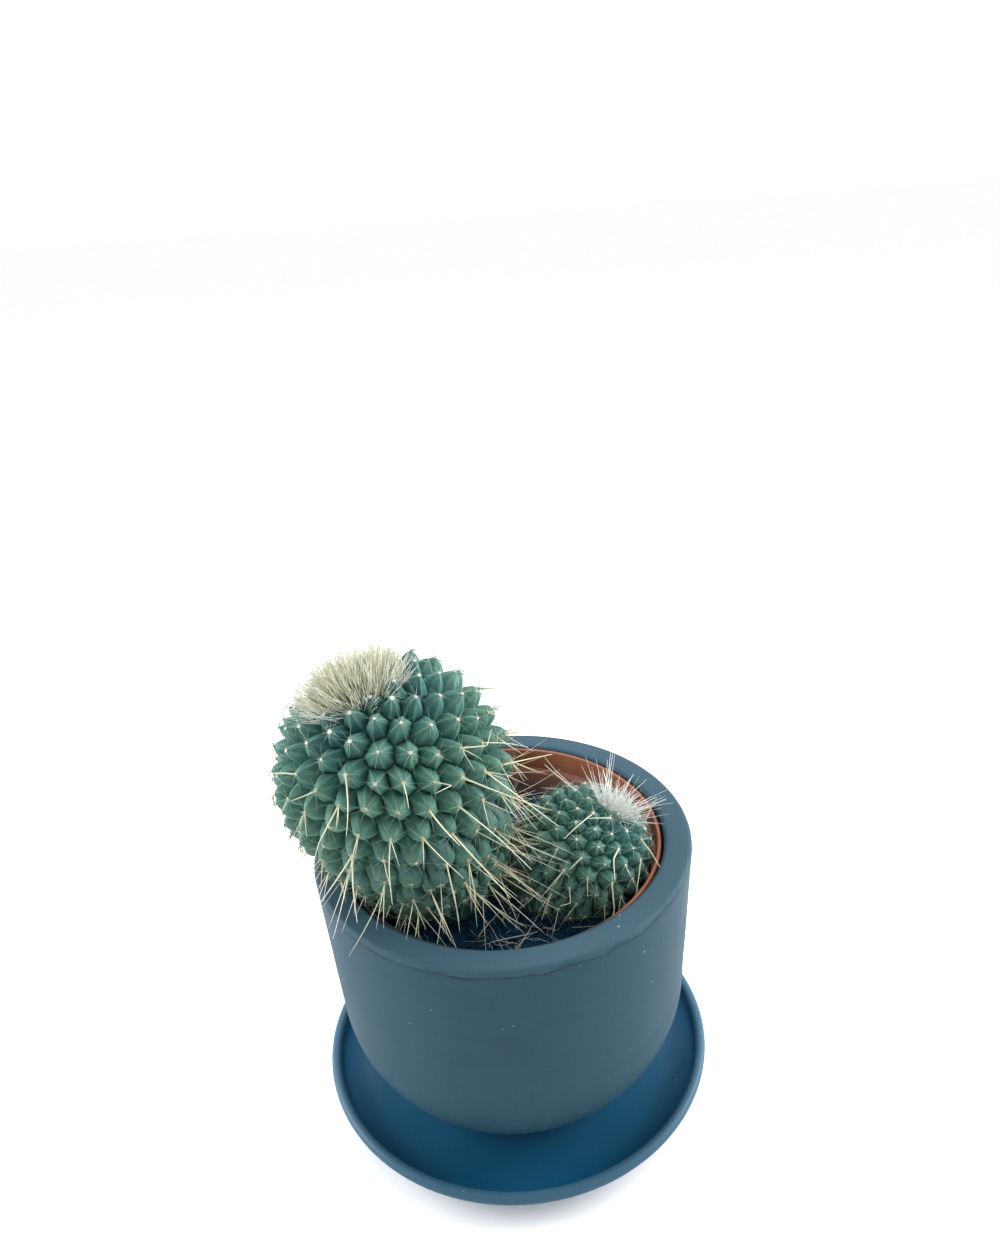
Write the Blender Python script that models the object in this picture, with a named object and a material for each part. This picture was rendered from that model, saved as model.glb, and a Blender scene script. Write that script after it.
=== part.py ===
"""Round cactus with one offset, potted.

Two tubercled stems stand in the soil of a thin grow pot. The grow pot hangs a little
tilted in a thick-rimmed cover pot, and the cover pot stands in a saucer. Metres, +Z up,
the origin under the middle of the saucer.
"""

import math
import random
from collections import namedtuple

import bmesh
import bpy
import numpy as np
from mathutils import Euler, Matrix, Vector

MM = 0.001

Cell = namedtuple("Cell", "ring middle outward rise tip")
Spine = namedtuple("Spine", "azimuth height turn lift length bend_turn bend_length", defaults=(0, 0))

# Cover pot
COVER_RADIUS = 61.0 * MM
COVER_HEIGHT = 93.0 * MM
COVER_RIM_WIDTH = 8.8 * MM
COVER_SHOULDER_HEIGHT = 42.0 * MM
COVER_SHOULDER_TAPER = 2.4 * MM
COVER_FOOT_RADIUS = 35.5 * MM
COVER_FOOT_CHAMFER = 1.5 * MM
COVER_FLOOR = 10.0 * MM
COVER_CAVITY_RADIUS = 42.0 * MM
COVER_CAVITY_ROUNDING = 3.0 * MM
COVER_THROAT_CLEARANCE = 5.0 * MM
COVER_DRAIN_RADIUS = 6.0 * MM
RIM_ROUNDING = 1.6 * MM
BOWL_POWER = 2.2
BOWL_STEPS = 9

# Saucer
SAUCER_RADIUS = 66.8 * MM
SAUCER_HEIGHT = 13.4 * MM
SAUCER_FLOOR = 4.6 * MM
SAUCER_LIP = 3.6 * MM
SAUCER_FLARE = 10.0 * MM
SAUCER_CHAMFER = 0.9 * MM

# Grow pot, measured down from the plane of its own rim
GROW_TILT = math.radians(1.2)
GROW_DROP = 1.3 * MM
GROW_WALL = 1.3 * MM
GROW_COLLAR_HEIGHT = 9.0 * MM
GROW_COLLAR_STEP = 1.9 * MM
GROW_BASE_RADIUS = 36.0 * MM
GROW_FLOOR = 1.6 * MM
GROW_DRAIN_RADIUS = 3.5 * MM
GROW_DRAIN_RING = 22.0 * MM
GROW_DRAINS = 6

# Soil
SOIL_DROP = 16.0 * MM
SOIL_BUMP = 1.0 * MM
SOIL_WAVES = ((1.0, 210, 170, 0.6), (0.6, 420, -330, 0.0), (0.4, 90, 560, 1.6))
SOIL_SEGMENTS = 36
SOIL_RINGS = 6

# Large stem
MAIN_RADIUS = 31.4 * MM
MAIN_CROWN_LENGTH = 33.0 * MM
MAIN_NECK_RADIUS = 9.5 * MM
MAIN_AXIS = Vector((-0.286, 0.03, 0.96)).normalized()
MAIN_SIDE = math.radians(-165.6)
MAIN_INSIDE_RIM = 24.4 * MM
MAIN_TUBERCLE = 5.4 * MM
MAIN_CELL = 8.2 * MM
MAIN_TUFT_RADIUS = 14.5 * MM
MAIN_TUFT_HEIGHT = 10.5 * MM

# Offset
OFFSET_RADIUS = 19.8 * MM
OFFSET_CROWN_LENGTH = 21.5 * MM
OFFSET_NECK_RADIUS = 10.0 * MM
OFFSET_AXIS = Vector((0.56, 0.08, 0.82)).normalized()
OFFSET_SIDE = math.radians(-13.8)
OFFSET_WALL_GAP = 1.5 * MM
OFFSET_CENTRE_DROP = 6.8 * MM
OFFSET_TUBERCLE = 3.6 * MM
OFFSET_CELL = 6.6 * MM
OFFSET_TUFT_RADIUS = 6.5 * MM
OFFSET_TUFT_HEIGHT = 8.0 * MM

# Tufts, as shares of their height and radius
TUFT_RAGGED = 0.22
TUFT_FALL = 0.25
TUFT_FLARE = 0.28
TUFT_RINGS = 4
TUFT_SEGMENTS = 24

# Long spines: azimuth round the stem and height along its axis (mm), turn from straight
# down the stem, lift from its skin, length (mm), and where one is bent, the turn and
# length (mm) of its outer part. Angles are in degrees.
SPINE_RADIUS = 0.34 * MM
SPINE_TIP_SHARE = 0.3
MAIN_SPINES = (
    # Over the rim at the left
    Spine(-35, 21, -60, 22, 8),
    Spine(-17, 18, -50, 22, 9),
    Spine(-9, 12, -35, 20, 10, -10, 4),
    Spine(-14, 2, -35, 22, 17),
    Spine(-20, -8, -38, 25, 24),
    Spine(-8, -4, -30, 22, 18),
    # Hanging down the front
    Spine(3, 16, -20, 20, 13),
    Spine(-2, 6, -28, 20, 13),
    Spine(22, 14, -5, 20, 8),
    Spine(6, 0, -15, 20, 16),
    Spine(21, -13, -5, 20, 18),
    Spine(26, -3, 8, 20, 15),
    Spine(30, -19, 5, 22, 20),
    Spine(31, 7, 5, 22, 15),
    # Twisted back on itself
    Spine(43, 11, 20, 20, 5, -95, 8),
    # Sweeping over the offset
    Spine(38, 1, 20, 26, 28),
    Spine(58, -1, 25, 24, 26),
    Spine(47, 7, 30, 24, 25),
    Spine(41, -15, 18, 22, 24),
    Spine(54, -11, 28, 22, 20),
    # Nearly level at the right
    Spine(55, 15, 38, 22, 9, 95, 4),
    Spine(51, 3, 50, 22, 16),
    Spine(71, 3, 50, 22, 21),
    Spine(91, 0, 55, 22, 26),
    # Behind
    Spine(130, 6, 20, 24, 16),
    Spine(170, 0, 5, 24, 18),
    Spine(215, 4, -15, 24, 16),
    Spine(265, 2, -30, 24, 14),
)
OFFSET_SPINES = (
    # Over the front
    Spine(105, 19, 15, 22, 14),
    Spine(125, 17, -50, 22, 11),
    Spine(158, 18, -28, 20, 6, -5, 8),
    Spine(178, 16, -15, 20, 10),
    Spine(140, 4, 0, 22, 11),
    Spine(148, -3, 2, 24, 9),
    Spine(160, 1, 12, 20, 4, -65, 5),
    Spine(173, 5, 40, 24, 8, 12, 4),
    # Up and over the rim at the right
    Spine(-150, 17, -12, 34, 10),
    Spine(-117, 18, 160, 30, 11),
    # Fanned out behind the crown
    Spine(-60, 18, 0, 62, 12),
    Spine(-20, 18, 0, 42, 14),
    Spine(20, 18, 0, 42, 14),
    Spine(60, 17, -20, 34, 13),
)

# How the stems stand
BURIED = 6.0 * MM
ROOT_CAP = 4.0 * MM
TIP_SHARE = 0.3
TUFT_SPREAD = 0.55
UNDERSIDE_SHRINK = 0.5
SOIL_MARGIN = 1.2
RIM_CLEARANCE = 3.7 * MM

# Gaps between pieces that rest on or in each other
SEAT_GAP = 0.3 * MM
COLLAR_GAP = 0.8 * MM
TUFT_GAP = 0.4 * MM

GOLDEN_ANGLE = math.pi * (3 - math.sqrt(5))
HEXAGON_SHARE = math.sqrt(3) / 2
POT_SEGMENTS = 48
GROW_SEGMENTS = 40

# Heights and radii that follow from the sizes above
cover_foot_z = SAUCER_FLOOR + SEAT_GAP
rim_z = cover_foot_z + COVER_HEIGHT
opening_radius = COVER_RADIUS - COVER_RIM_WIDTH
collar_radius = opening_radius - COLLAR_GAP
grow_height = (
    COVER_HEIGHT - COVER_FLOOR - SEAT_GAP - GROW_DROP - GROW_BASE_RADIUS * math.sin(GROW_TILT)
) / math.cos(GROW_TILT)
grow_shoulder_radius = collar_radius - GROW_COLLAR_STEP


def clear_scene():
    for obj in list(bpy.data.objects):
        bpy.data.objects.remove(obj, do_unlink=True)


def material(name, rgb, roughness, metallic=0.0):
    """A Principled material whose colour is given as 0 to 255 display values."""
    made = bpy.data.materials.new(name)
    made.use_nodes = True
    shader = made.node_tree.nodes["Principled BSDF"]
    linear = [(c / 255) ** 2.2 for c in rgb]
    shader.inputs["Base Color"].default_value = (*linear, 1.0)
    shader.inputs["Roughness"].default_value = roughness
    shader.inputs["Metallic"].default_value = metallic
    return made


def add_object(name, mesh, finish, parent=None, smooth_degrees=None):
    obj = bpy.data.objects.new(name, mesh)
    bpy.context.collection.objects.link(obj)
    mesh.materials.append(finish)
    if smooth_degrees:
        mesh.shade_smooth()
        mesh.set_sharp_from_angle(angle=math.radians(smooth_degrees))
    obj.parent = parent
    return obj


def mesh_from(name, bm):
    bmesh.ops.recalc_face_normals(bm, faces=bm.faces)
    mesh = bpy.data.meshes.new(name)
    bm.to_mesh(mesh)
    bm.free()
    return mesh


def turned_mesh(name, outline, segments):
    """A solid turned round Z from a closed outline of (radius, height) points."""
    bm = bmesh.new()
    verts = [bm.verts.new((radius, 0, height)) for radius, height in outline]
    edges = [bm.edges.new(pair) for pair in zip(verts, verts[1:] + verts[:1])]
    bmesh.ops.spin(
        bm,
        geom=verts + edges,
        axis=(0, 0, 1),
        cent=(0, 0, 0),
        steps=segments,
        angle=2 * math.pi,
    )
    bmesh.ops.remove_doubles(bm, verts=bm.verts, dist=1e-6)
    return mesh_from(name, bm)


def join_rings(bm, inner, outer):
    """Faces between two rings of points, or between one point and a ring."""
    count = len(outer)
    for i in range(count):
        follow = (i + 1) % count
        if len(inner) == 1:
            bm.faces.new((inner[0], outer[i], outer[follow]))
        else:
            bm.faces.new((inner[i], outer[i], outer[follow], inner[follow]))


def arc(centre, radius, start, end, steps):
    """Points on a circle in the outline's plane, angles in degrees."""
    angles = [math.radians(start + (end - start) * i / steps) for i in range(steps + 1)]
    return [(centre[0] + radius * math.cos(a), centre[1] + radius * math.sin(a)) for a in angles]


def build_saucer(finish):
    """A shallow dish: flat floor, flared wall and a rounded lip."""
    base_radius = SAUCER_RADIUS - SAUCER_FLARE
    lip = SAUCER_LIP / 2
    lip_centre = (SAUCER_RADIUS - lip, SAUCER_HEIGHT - lip)
    outline = [(0, 0), (base_radius - SAUCER_CHAMFER, 0), (base_radius, SAUCER_CHAMFER)]
    outline += arc(lip_centre, lip, -25, 155, 6)
    floor_edge = base_radius - SAUCER_LIP
    run = lip_centre[0] - lip - floor_edge
    rise = SAUCER_HEIGHT - SAUCER_LIP - SAUCER_FLOOR
    for turn in (80, 54, 28, 2):
        angle = math.radians(turn)
        outline.append(
            (floor_edge + run * math.sin(angle), SAUCER_FLOOR + rise * (1 - math.cos(angle)))
        )
    outline += [(0, SAUCER_FLOOR)]
    return add_object("saucer", turned_mesh("saucer", outline, POT_SEGMENTS), finish, None, 40)


def build_cover_pot(finish):
    """A thick pot: slight taper, bowl-like foot, broad rounded rim and a drain hole."""
    shoulder_radius = COVER_RADIUS - COVER_SHOULDER_TAPER
    outline = [(COVER_DRAIN_RADIUS, 0), (COVER_FOOT_RADIUS - COVER_FOOT_CHAMFER, 0)]
    for i in range(1, BOWL_STEPS + 1):
        height = COVER_SHOULDER_HEIGHT * i / BOWL_STEPS
        share = 1 - i / BOWL_STEPS
        pull = (shoulder_radius - COVER_FOOT_RADIUS) * share**BOWL_POWER
        outline.append((shoulder_radius - pull, height))
    top = COVER_HEIGHT - RIM_ROUNDING
    outline += arc((COVER_RADIUS - RIM_ROUNDING, top), RIM_ROUNDING, 0, 90, 3)
    outline += arc((opening_radius + RIM_ROUNDING, top), RIM_ROUNDING, 90, 180, 3)
    throat = GROW_DROP + GROW_COLLAR_HEIGHT + COVER_THROAT_CLEARANCE
    outline.append((opening_radius, COVER_HEIGHT - throat))
    corner = (
        COVER_CAVITY_RADIUS - COVER_CAVITY_ROUNDING,
        COVER_FLOOR + COVER_CAVITY_ROUNDING,
    )
    outline += arc(corner, COVER_CAVITY_ROUNDING, 0, -90, 3)
    outline += [(COVER_DRAIN_RADIUS, COVER_FLOOR)]
    pot = add_object("cover_pot", turned_mesh("cover_pot", outline, POT_SEGMENTS), finish, None, 40)
    pot.location.z = cover_foot_z
    return pot


def grow_wall_radius(depth):
    """Outer radius of the grow pot's wall at a depth below its rim, under the collar."""
    share = (depth - GROW_COLLAR_HEIGHT) / (grow_height - GROW_COLLAR_HEIGHT)
    return grow_shoulder_radius + (GROW_BASE_RADIUS - grow_shoulder_radius) * share


def drain_cutter(parent):
    """Pins round the floor's edge and one at its middle, which the drain holes are cut with."""
    bm = bmesh.new()
    centres = [(0.0, 0.0)]
    for i in range(GROW_DRAINS):
        turn = 2 * math.pi * i / GROW_DRAINS
        centres.append((GROW_DRAIN_RING * math.cos(turn), GROW_DRAIN_RING * math.sin(turn)))
    for x, y in centres:
        bmesh.ops.create_cone(
            bm,
            cap_ends=True,
            segments=12,
            radius1=GROW_DRAIN_RADIUS,
            radius2=GROW_DRAIN_RADIUS,
            depth=4 * GROW_FLOOR,
            matrix=Matrix.Translation((x, y, -grow_height)),
        )
    cutter = bpy.data.objects.new("drain_cutter", mesh_from("drain_cutter", bm))
    bpy.context.collection.objects.link(cutter)
    cutter.parent = parent
    cutter.hide_render = True
    cutter.display_type = "WIRE"
    return cutter


def build_nursery_pot(finish, hanger):
    """A thin grow pot: rolled collar, ledge under it, tapered wall, floor with drain holes."""
    lip = GROW_WALL / 2
    base_inner = GROW_BASE_RADIUS - GROW_WALL
    outline = [(0, -grow_height), (GROW_BASE_RADIUS, -grow_height)]
    outline += [(grow_shoulder_radius, -GROW_COLLAR_HEIGHT), (collar_radius, -GROW_COLLAR_HEIGHT)]
    outline += arc((collar_radius - lip, -lip), lip, 0, 180, 4)
    outline += [
        (collar_radius - GROW_WALL, -GROW_COLLAR_HEIGHT + GROW_WALL),
        (grow_shoulder_radius - GROW_WALL, -GROW_COLLAR_HEIGHT),
        (base_inner, GROW_FLOOR - grow_height),
        (0, GROW_FLOOR - grow_height),
    ]
    pot = add_object(
        "nursery_pot", turned_mesh("nursery_pot", outline, GROW_SEGMENTS), finish, hanger, 40
    )
    drains = pot.modifiers.new("drain_holes", "BOOLEAN")
    drains.operation = "DIFFERENCE"
    drains.object = drain_cutter(hanger)
    return pot


def soil_height(x, y):
    """Height of the soil's surface in the grow pot's frame.

    Each wave has a share of the bump, a frequency along X and along Y, and a phase.
    """
    waves = sum(share * math.sin(fx * x + fy * y + phase) for share, fx, fy, phase in SOIL_WAVES)
    return -SOIL_DROP + SOIL_BUMP * waves / 2


class Stem:
    """A convex stem turned round its own axis, with tubercles in a golden-angle spiral.

    Heights are along the axis from the widest place: up to the crown, down to the root. The neck
    is at least as wide as the globe is where the root starts.
    """

    def __init__(self, radius, crown, neck, axis, centre, tubercle, cell, tuft_radius):
        self.radius = radius
        self.crown = crown
        self.tubercle = tubercle
        self.tuft_radius = tuft_radius
        self.bare_radius = tuft_radius + TUFT_SPREAD * cell
        self.centre = Vector(centre)
        self.frame = axis.to_track_quat("Z", "Y").to_matrix().to_4x4()
        self.frame.translation = self.centre
        root_z = -SOIL_DROP - BURIED
        self.lower = (self.centre.z - root_z) / axis.z
        self.neck = max(neck, math.sqrt(max(0.0, radius**2 - self.lower**2)))
        away = math.atan2(self.neck, -self.lower)
        self.leave = away - math.acos(min(1.0, radius / math.hypot(self.neck, self.lower)))
        self.cells = self.cells_round(self.spread(cell))

    def radius_at(self, height):
        if height >= 0:
            return self.radius * math.sqrt(max(0.0, 1 - (height / self.crown) ** 2))
        leave_height = self.radius * math.cos(self.leave)
        if height >= leave_height:
            return math.sqrt(self.radius**2 - height**2)
        if height >= -self.lower:
            share = (height - leave_height) / (-self.lower - leave_height)
            leave_radius = self.radius * math.sin(self.leave)
            return leave_radius + (self.neck - leave_radius) * share
        beyond = (-self.lower - height) / ROOT_CAP
        return self.neck * math.sqrt(max(0.0, 1 - beyond))

    def spread(self, cell):
        """Seeds of equal area from the crown down, one golden angle apart."""
        turns = np.linspace(0, math.pi / 2, 90)
        heights = list(self.crown * np.cos(turns))
        heights += list(np.linspace(0, -self.lower, 120)[1:])
        heights += list(-self.lower - ROOT_CAP * np.sin(np.linspace(0, math.pi / 2, 30)[1:]))
        radii = [self.radius_at(h) for h in heights]
        area = [0.0]
        for (r0, h0), (r1, h1) in zip(zip(radii, heights), zip(radii[1:], heights[1:])):
            area.append(area[-1] + math.pi * (r0 + r1) * math.hypot(r1 - r0, h1 - h0))
        count = int(area[-1] / (HEXAGON_SHARE * cell**2))
        seeds = []
        for i in range(count):
            height = float(np.interp((i + 0.5) / count * area[-1], area, heights))
            turn = i * GOLDEN_ANGLE
            radius = self.radius_at(height)
            seeds.append(Vector((radius * math.cos(turn), radius * math.sin(turn), height)))
        return seeds

    def rise_at(self, seed):
        """How far the tubercle on a seed stands up.

        None does under the crown's tuft or near the soil, and those that face down are lower.
        """
        if seed.z > 0 and math.hypot(seed.x, seed.y) < self.bare_radius:
            return 0.0
        above_soil = (self.frame @ seed).z + SOIL_DROP
        clear = min(1.0, max(0.0, above_soil / self.tubercle - SOIL_MARGIN))
        facing_down = max(0.0, -(self.frame.to_3x3() @ self.outward_at(seed)).z)
        return self.tubercle * clear * (1 - UNDERSIDE_SHRINK * facing_down)

    def outward_at(self, seed):
        """The stem's outward direction at a seed, in the stem's own frame."""
        step = 0.2 * MM
        slope = (self.radius_at(seed.z + step) - self.radius_at(seed.z - step)) / (2 * step)
        flat = Vector((seed.x, seed.y, 0)).normalized()
        return (flat - Vector((0, 0, slope))).normalized()

    def cells_round(self, seeds):
        """A cell round each seed, with a corner where three seeds meet."""
        hull = bmesh.new()
        for seed in seeds:
            hull.verts.new(seed)
        bmesh.ops.convex_hull(hull, input=hull.verts)
        bmesh.ops.triangulate(hull, faces=hull.faces)
        hull.faces.index_update()
        hull.faces.ensure_lookup_table()
        self.corners = [face.calc_center_median() for face in hull.faces]
        cells = [self.cell_round(vert) for vert in hull.verts if vert.link_faces]
        hull.free()
        return cells

    def cell_round(self, vert):
        seed = vert.co.copy()
        outward = self.outward_at(seed)
        side = outward.orthogonal().normalized()
        across = outward.cross(side)

        def turn_of(index):
            arm = self.corners[index] - seed
            return math.atan2(arm.dot(across), arm.dot(side))

        ring = sorted((face.index for face in vert.link_faces), key=turn_of)
        middle = sum((self.corners[i] for i in ring), Vector()) / len(ring)
        rise = self.rise_at(seed)
        return Cell(ring, middle, outward, rise, middle + outward * rise)

    def areole_near(self, azimuth, height, taken):
        """The free tubercle nearest to an azimuth in degrees and a height along the axis."""
        turn = math.radians(azimuth)
        radius = self.radius_at(height)
        wanted = Vector((radius * math.cos(turn), radius * math.sin(turn), height))
        free = [i for i, cell in enumerate(self.cells) if cell.rise > 0 and i not in taken]
        found = min(free, key=lambda i: (self.cells[i].middle - wanted).length)
        taken.add(found)
        return self.cells[found]


def stem_mesh(name, stem):
    """The stem's skin: each cell closed flat, or with a blunt tubercle on it."""
    bm = bmesh.new()
    corners = [bm.verts.new(corner) for corner in stem.corners]
    for cell in stem.cells:
        ring = [corners[i] for i in cell.ring]
        if cell.rise == 0.0:
            bm.faces.new(ring)
            continue
        tip = [bm.verts.new(cell.tip + TIP_SHARE * (v.co - cell.middle)) for v in ring]
        for i, corner in enumerate(ring):
            follow = (i + 1) % len(ring)
            bm.faces.new((corner, ring[follow], tip[follow], tip[i]))
        bm.faces.new(tip)
    return mesh_from(name, bm)


def build_stem(name, stem, finish, hanger):
    obj = add_object(name, stem_mesh(name, stem), finish, hanger)
    obj.matrix_local = stem.frame
    return obj


def build_tuft(name, stem, height, finish, hanger, seed):
    """A brush of young spines over the bare crown: ragged on top, hollowed to the crown below."""
    rng = random.Random(seed)
    bm = bmesh.new()

    def points_at(share, on_top):
        """A ring of points at a share of the tuft's radius, or one point on its axis."""
        radius = stem.tuft_radius * share
        base = stem.crown * math.sqrt(1 - (radius / stem.radius) ** 2) + TUFT_GAP
        if share == 0:
            return [bm.verts.new((0, 0, base + height * on_top))]
        points = []
        for i in range(TUFT_SEGMENTS):
            turn = 2 * math.pi * i / TUFT_SEGMENTS
            lift = height * (1 - TUFT_RAGGED * rng.random()) * (1 - TUFT_FALL * share) * on_top
            reach = radius * (1 + TUFT_FLARE * share * on_top)
            points.append(
                bm.verts.new((reach * math.cos(turn), reach * math.sin(turn), base + lift))
            )
        return points

    shares = [i / TUFT_RINGS for i in range(TUFT_RINGS + 1)]
    top = [points_at(share, 1) for share in shares]
    below = [points_at(share, 0) for share in shares]
    for layer in (top, below):
        for inner, outer in zip(layer, layer[1:]):
            join_rings(bm, inner, outer)
    join_rings(bm, below[-1], top[-1])
    obj = add_object(name, mesh_from(name, bm), finish, hanger)
    obj.matrix_local = stem.frame
    return obj


def build_spine(name, stem, spine, taken, finish, hanger):
    """One long tapered spine that leaves its areole at an angle, straight or with one bend.

    Its turn is measured from straight down the stem, and its lift from the stem's skin.
    """
    cell = stem.areole_near(spine.azimuth, spine.height * MM, taken)
    down = (Vector((0, 0, -1)) + cell.outward * cell.outward.z).normalized()
    side = cell.outward.cross(down)
    lift = math.radians(spine.lift)

    def heading(turn):
        along = down * math.cos(math.radians(turn)) + side * math.sin(math.radians(turn))
        return along * math.cos(lift) + cell.outward * math.sin(lift)

    start = cell.tip + cell.outward * (SEAT_GAP + SPINE_RADIUS)
    elbow = start + heading(spine.turn) * spine.length * MM
    points = [start, start.lerp(elbow, 0.5), elbow]
    if spine.bend_length:
        points.append(elbow + heading(spine.bend_turn) * spine.bend_length * MM)
    curve = bpy.data.curves.new(name, "CURVE")
    curve.dimensions = "3D"
    curve.bevel_depth = SPINE_RADIUS
    curve.bevel_resolution = 1
    curve.use_fill_caps = True
    line = curve.splines.new("POLY")
    line.points.add(len(points) - 1)
    for i, point in enumerate(points):
        line.points[i].co = (*point, 1.0)
        line.points[i].radius = 1.0 - (1.0 - SPINE_TIP_SHARE) * i / (len(points) - 1)
    obj = add_object(name, curve, finish, hanger)
    obj.matrix_local = stem.frame
    return obj


def socket_cutter(name, stem, hanger):
    """The stem's smooth shape, one gap larger, which its hole in the soil is cut with."""
    steps = 20
    bottom = -stem.lower - ROOT_CAP
    outline = [(0, bottom - SEAT_GAP)]
    for i in range(steps + 1):
        height = bottom + (stem.crown - bottom) * math.sin(math.pi / 2 * i / steps) ** 1.5
        outline.append((stem.radius_at(height) + SEAT_GAP, height - SEAT_GAP * (1 - i / steps)))
    outline.append((0, stem.crown + SEAT_GAP))
    cutter = bpy.data.objects.new(name, turned_mesh(name, outline, 32))
    bpy.context.collection.objects.link(cutter)
    cutter.parent = hanger
    cutter.matrix_local = stem.frame
    cutter.hide_render = True
    cutter.display_type = "WIRE"
    return cutter


def ring_of(bm, radius, height_at):
    """Points round the axis at one radius, each as high as height_at(x, y) says."""
    points = []
    for i in range(SOIL_SEGMENTS):
        turn = 2 * math.pi * i / SOIL_SEGMENTS
        x, y = radius * math.cos(turn), radius * math.sin(turn)
        points.append(bm.verts.new((x, y, height_at(x, y))))
    return points


def build_soil(stems, finish, hanger):
    """Soil filling the grow pot up to an uneven surface, with a socket for each stem."""
    bottom = GROW_FLOOR + SEAT_GAP - grow_height
    slope = (grow_shoulder_radius - GROW_BASE_RADIUS) / grow_height
    top_radius = grow_wall_radius(SOIL_DROP) - GROW_WALL - SEAT_GAP - SOIL_BUMP * slope
    base_radius = GROW_BASE_RADIUS - GROW_WALL - 2 * SEAT_GAP
    bm = bmesh.new()
    inner = [bm.verts.new((0, 0, soil_height(0, 0)))]
    for ring in range(1, SOIL_RINGS + 1):
        outer = ring_of(bm, top_radius * ring / SOIL_RINGS, soil_height)
        join_rings(bm, inner, outer)
        inner = outer
    foot = ring_of(bm, base_radius, lambda x, y: bottom)
    join_rings(bm, inner, foot)
    bm.faces.new(foot)
    soil = add_object("potting_soil", mesh_from("potting_soil", bm), finish, hanger)
    for name, stem in stems.items():
        socket = soil.modifiers.new(name + "_socket", "BOOLEAN")
        socket.operation = "DIFFERENCE"
        socket.object = socket_cutter(name + "_socket_cutter", stem, hanger)
    return soil


def placed(away, side, height):
    """A point at a distance from the pot's axis, on the side given."""
    return (away * math.cos(side), away * math.sin(side), height)


def main_stem():
    """The large stem, its widest place held just clear of the cover pot's rim."""
    reach = MAIN_RADIUS + MAIN_TUBERCLE + RIM_CLEARANCE
    height = math.sqrt(reach**2 - MAIN_INSIDE_RIM**2) + GROW_DROP
    away = COVER_RADIUS - COVER_RIM_WIDTH / 2 - MAIN_INSIDE_RIM
    return Stem(
        MAIN_RADIUS,
        MAIN_CROWN_LENGTH,
        MAIN_NECK_RADIUS,
        MAIN_AXIS,
        placed(away, MAIN_SIDE, height),
        MAIN_TUBERCLE,
        MAIN_CELL,
        MAIN_TUFT_RADIUS,
    )


def offset_stem():
    """The offset, its widest place next to the grow pot's wall and sunk below the rim."""
    away = collar_radius - GROW_WALL - OFFSET_WALL_GAP - OFFSET_TUBERCLE - OFFSET_RADIUS
    return Stem(
        OFFSET_RADIUS,
        OFFSET_CROWN_LENGTH,
        OFFSET_NECK_RADIUS,
        OFFSET_AXIS,
        placed(away, OFFSET_SIDE, -OFFSET_CENTRE_DROP),
        OFFSET_TUBERCLE,
        OFFSET_CELL,
        OFFSET_TUFT_RADIUS,
    )


def main():
    clear_scene()
    glaze = material("slate_blue_pot", (68, 97, 113), 0.62)
    dish = material("deep_blue_saucer", (22, 70, 100), 0.5)
    plastic = material("orange_plastic", (178, 92, 60), 0.55)
    soil = material("dark_soil", (30, 34, 36), 0.95)
    skin = material("cactus_green", (62, 98, 84), 0.55)
    straw = material("long_spines", (212, 208, 160), 0.45)
    wool = material("crown_spines", (172, 172, 146), 0.8)

    build_saucer(dish)
    build_cover_pot(glaze)
    hanger = bpy.data.objects.new("grow_pot_frame", None)
    bpy.context.collection.objects.link(hanger)
    hanger.location.z = rim_z - GROW_DROP
    hanger.rotation_euler = Euler((GROW_TILT, 0, 0))
    build_nursery_pot(plastic, hanger)
    stems = {"main": main_stem(), "offset": offset_stem()}
    build_soil(stems, soil, hanger)
    build_stem("main_cactus", stems["main"], skin, hanger)
    build_stem("offset_cactus", stems["offset"], skin, hanger)
    build_tuft("main_crown_spines", stems["main"], MAIN_TUFT_HEIGHT, wool, hanger, 3)
    build_tuft("offset_crown_spines", stems["offset"], OFFSET_TUFT_HEIGHT, wool, hanger, 5)
    for kind, spines in (("main", MAIN_SPINES), ("offset", OFFSET_SPINES)):
        taken = set()
        for number, spine in enumerate(spines, 1):
            name = f"{kind}_spine_{number:02d}"
            build_spine(name, stems[kind], spine, taken, straw, hanger)
    bpy.context.view_layer.update()


main()
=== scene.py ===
"""Looks of a potted round cactus with one offset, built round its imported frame.

The pots and the saucer are turned finely, the stems get full tubercles with woolly
areoles, and every spine is a tapered strand. Metres, +Z up.
"""

import math
import random

import bmesh
import bpy
import numpy as np
from mathutils import Euler, Matrix, Vector, noise


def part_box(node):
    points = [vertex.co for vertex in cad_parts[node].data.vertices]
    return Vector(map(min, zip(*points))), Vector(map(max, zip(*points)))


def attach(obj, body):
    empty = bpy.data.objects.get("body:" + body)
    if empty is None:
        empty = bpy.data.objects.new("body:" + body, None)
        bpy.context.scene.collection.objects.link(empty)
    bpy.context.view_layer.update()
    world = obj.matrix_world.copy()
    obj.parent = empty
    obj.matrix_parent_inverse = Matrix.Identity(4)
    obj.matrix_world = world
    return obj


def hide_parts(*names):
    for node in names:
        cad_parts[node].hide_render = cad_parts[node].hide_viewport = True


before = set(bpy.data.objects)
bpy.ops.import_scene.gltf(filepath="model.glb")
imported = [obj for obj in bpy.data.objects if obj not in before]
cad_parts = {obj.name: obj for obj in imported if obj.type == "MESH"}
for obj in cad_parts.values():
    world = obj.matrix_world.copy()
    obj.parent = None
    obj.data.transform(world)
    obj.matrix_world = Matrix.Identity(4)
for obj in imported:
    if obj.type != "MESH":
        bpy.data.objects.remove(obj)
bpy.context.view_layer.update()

MM = 0.001
GOLDEN_ANGLE = math.pi * (3 - math.sqrt(5))
HEXAGON_SHARE = math.sqrt(3) / 2

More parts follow.
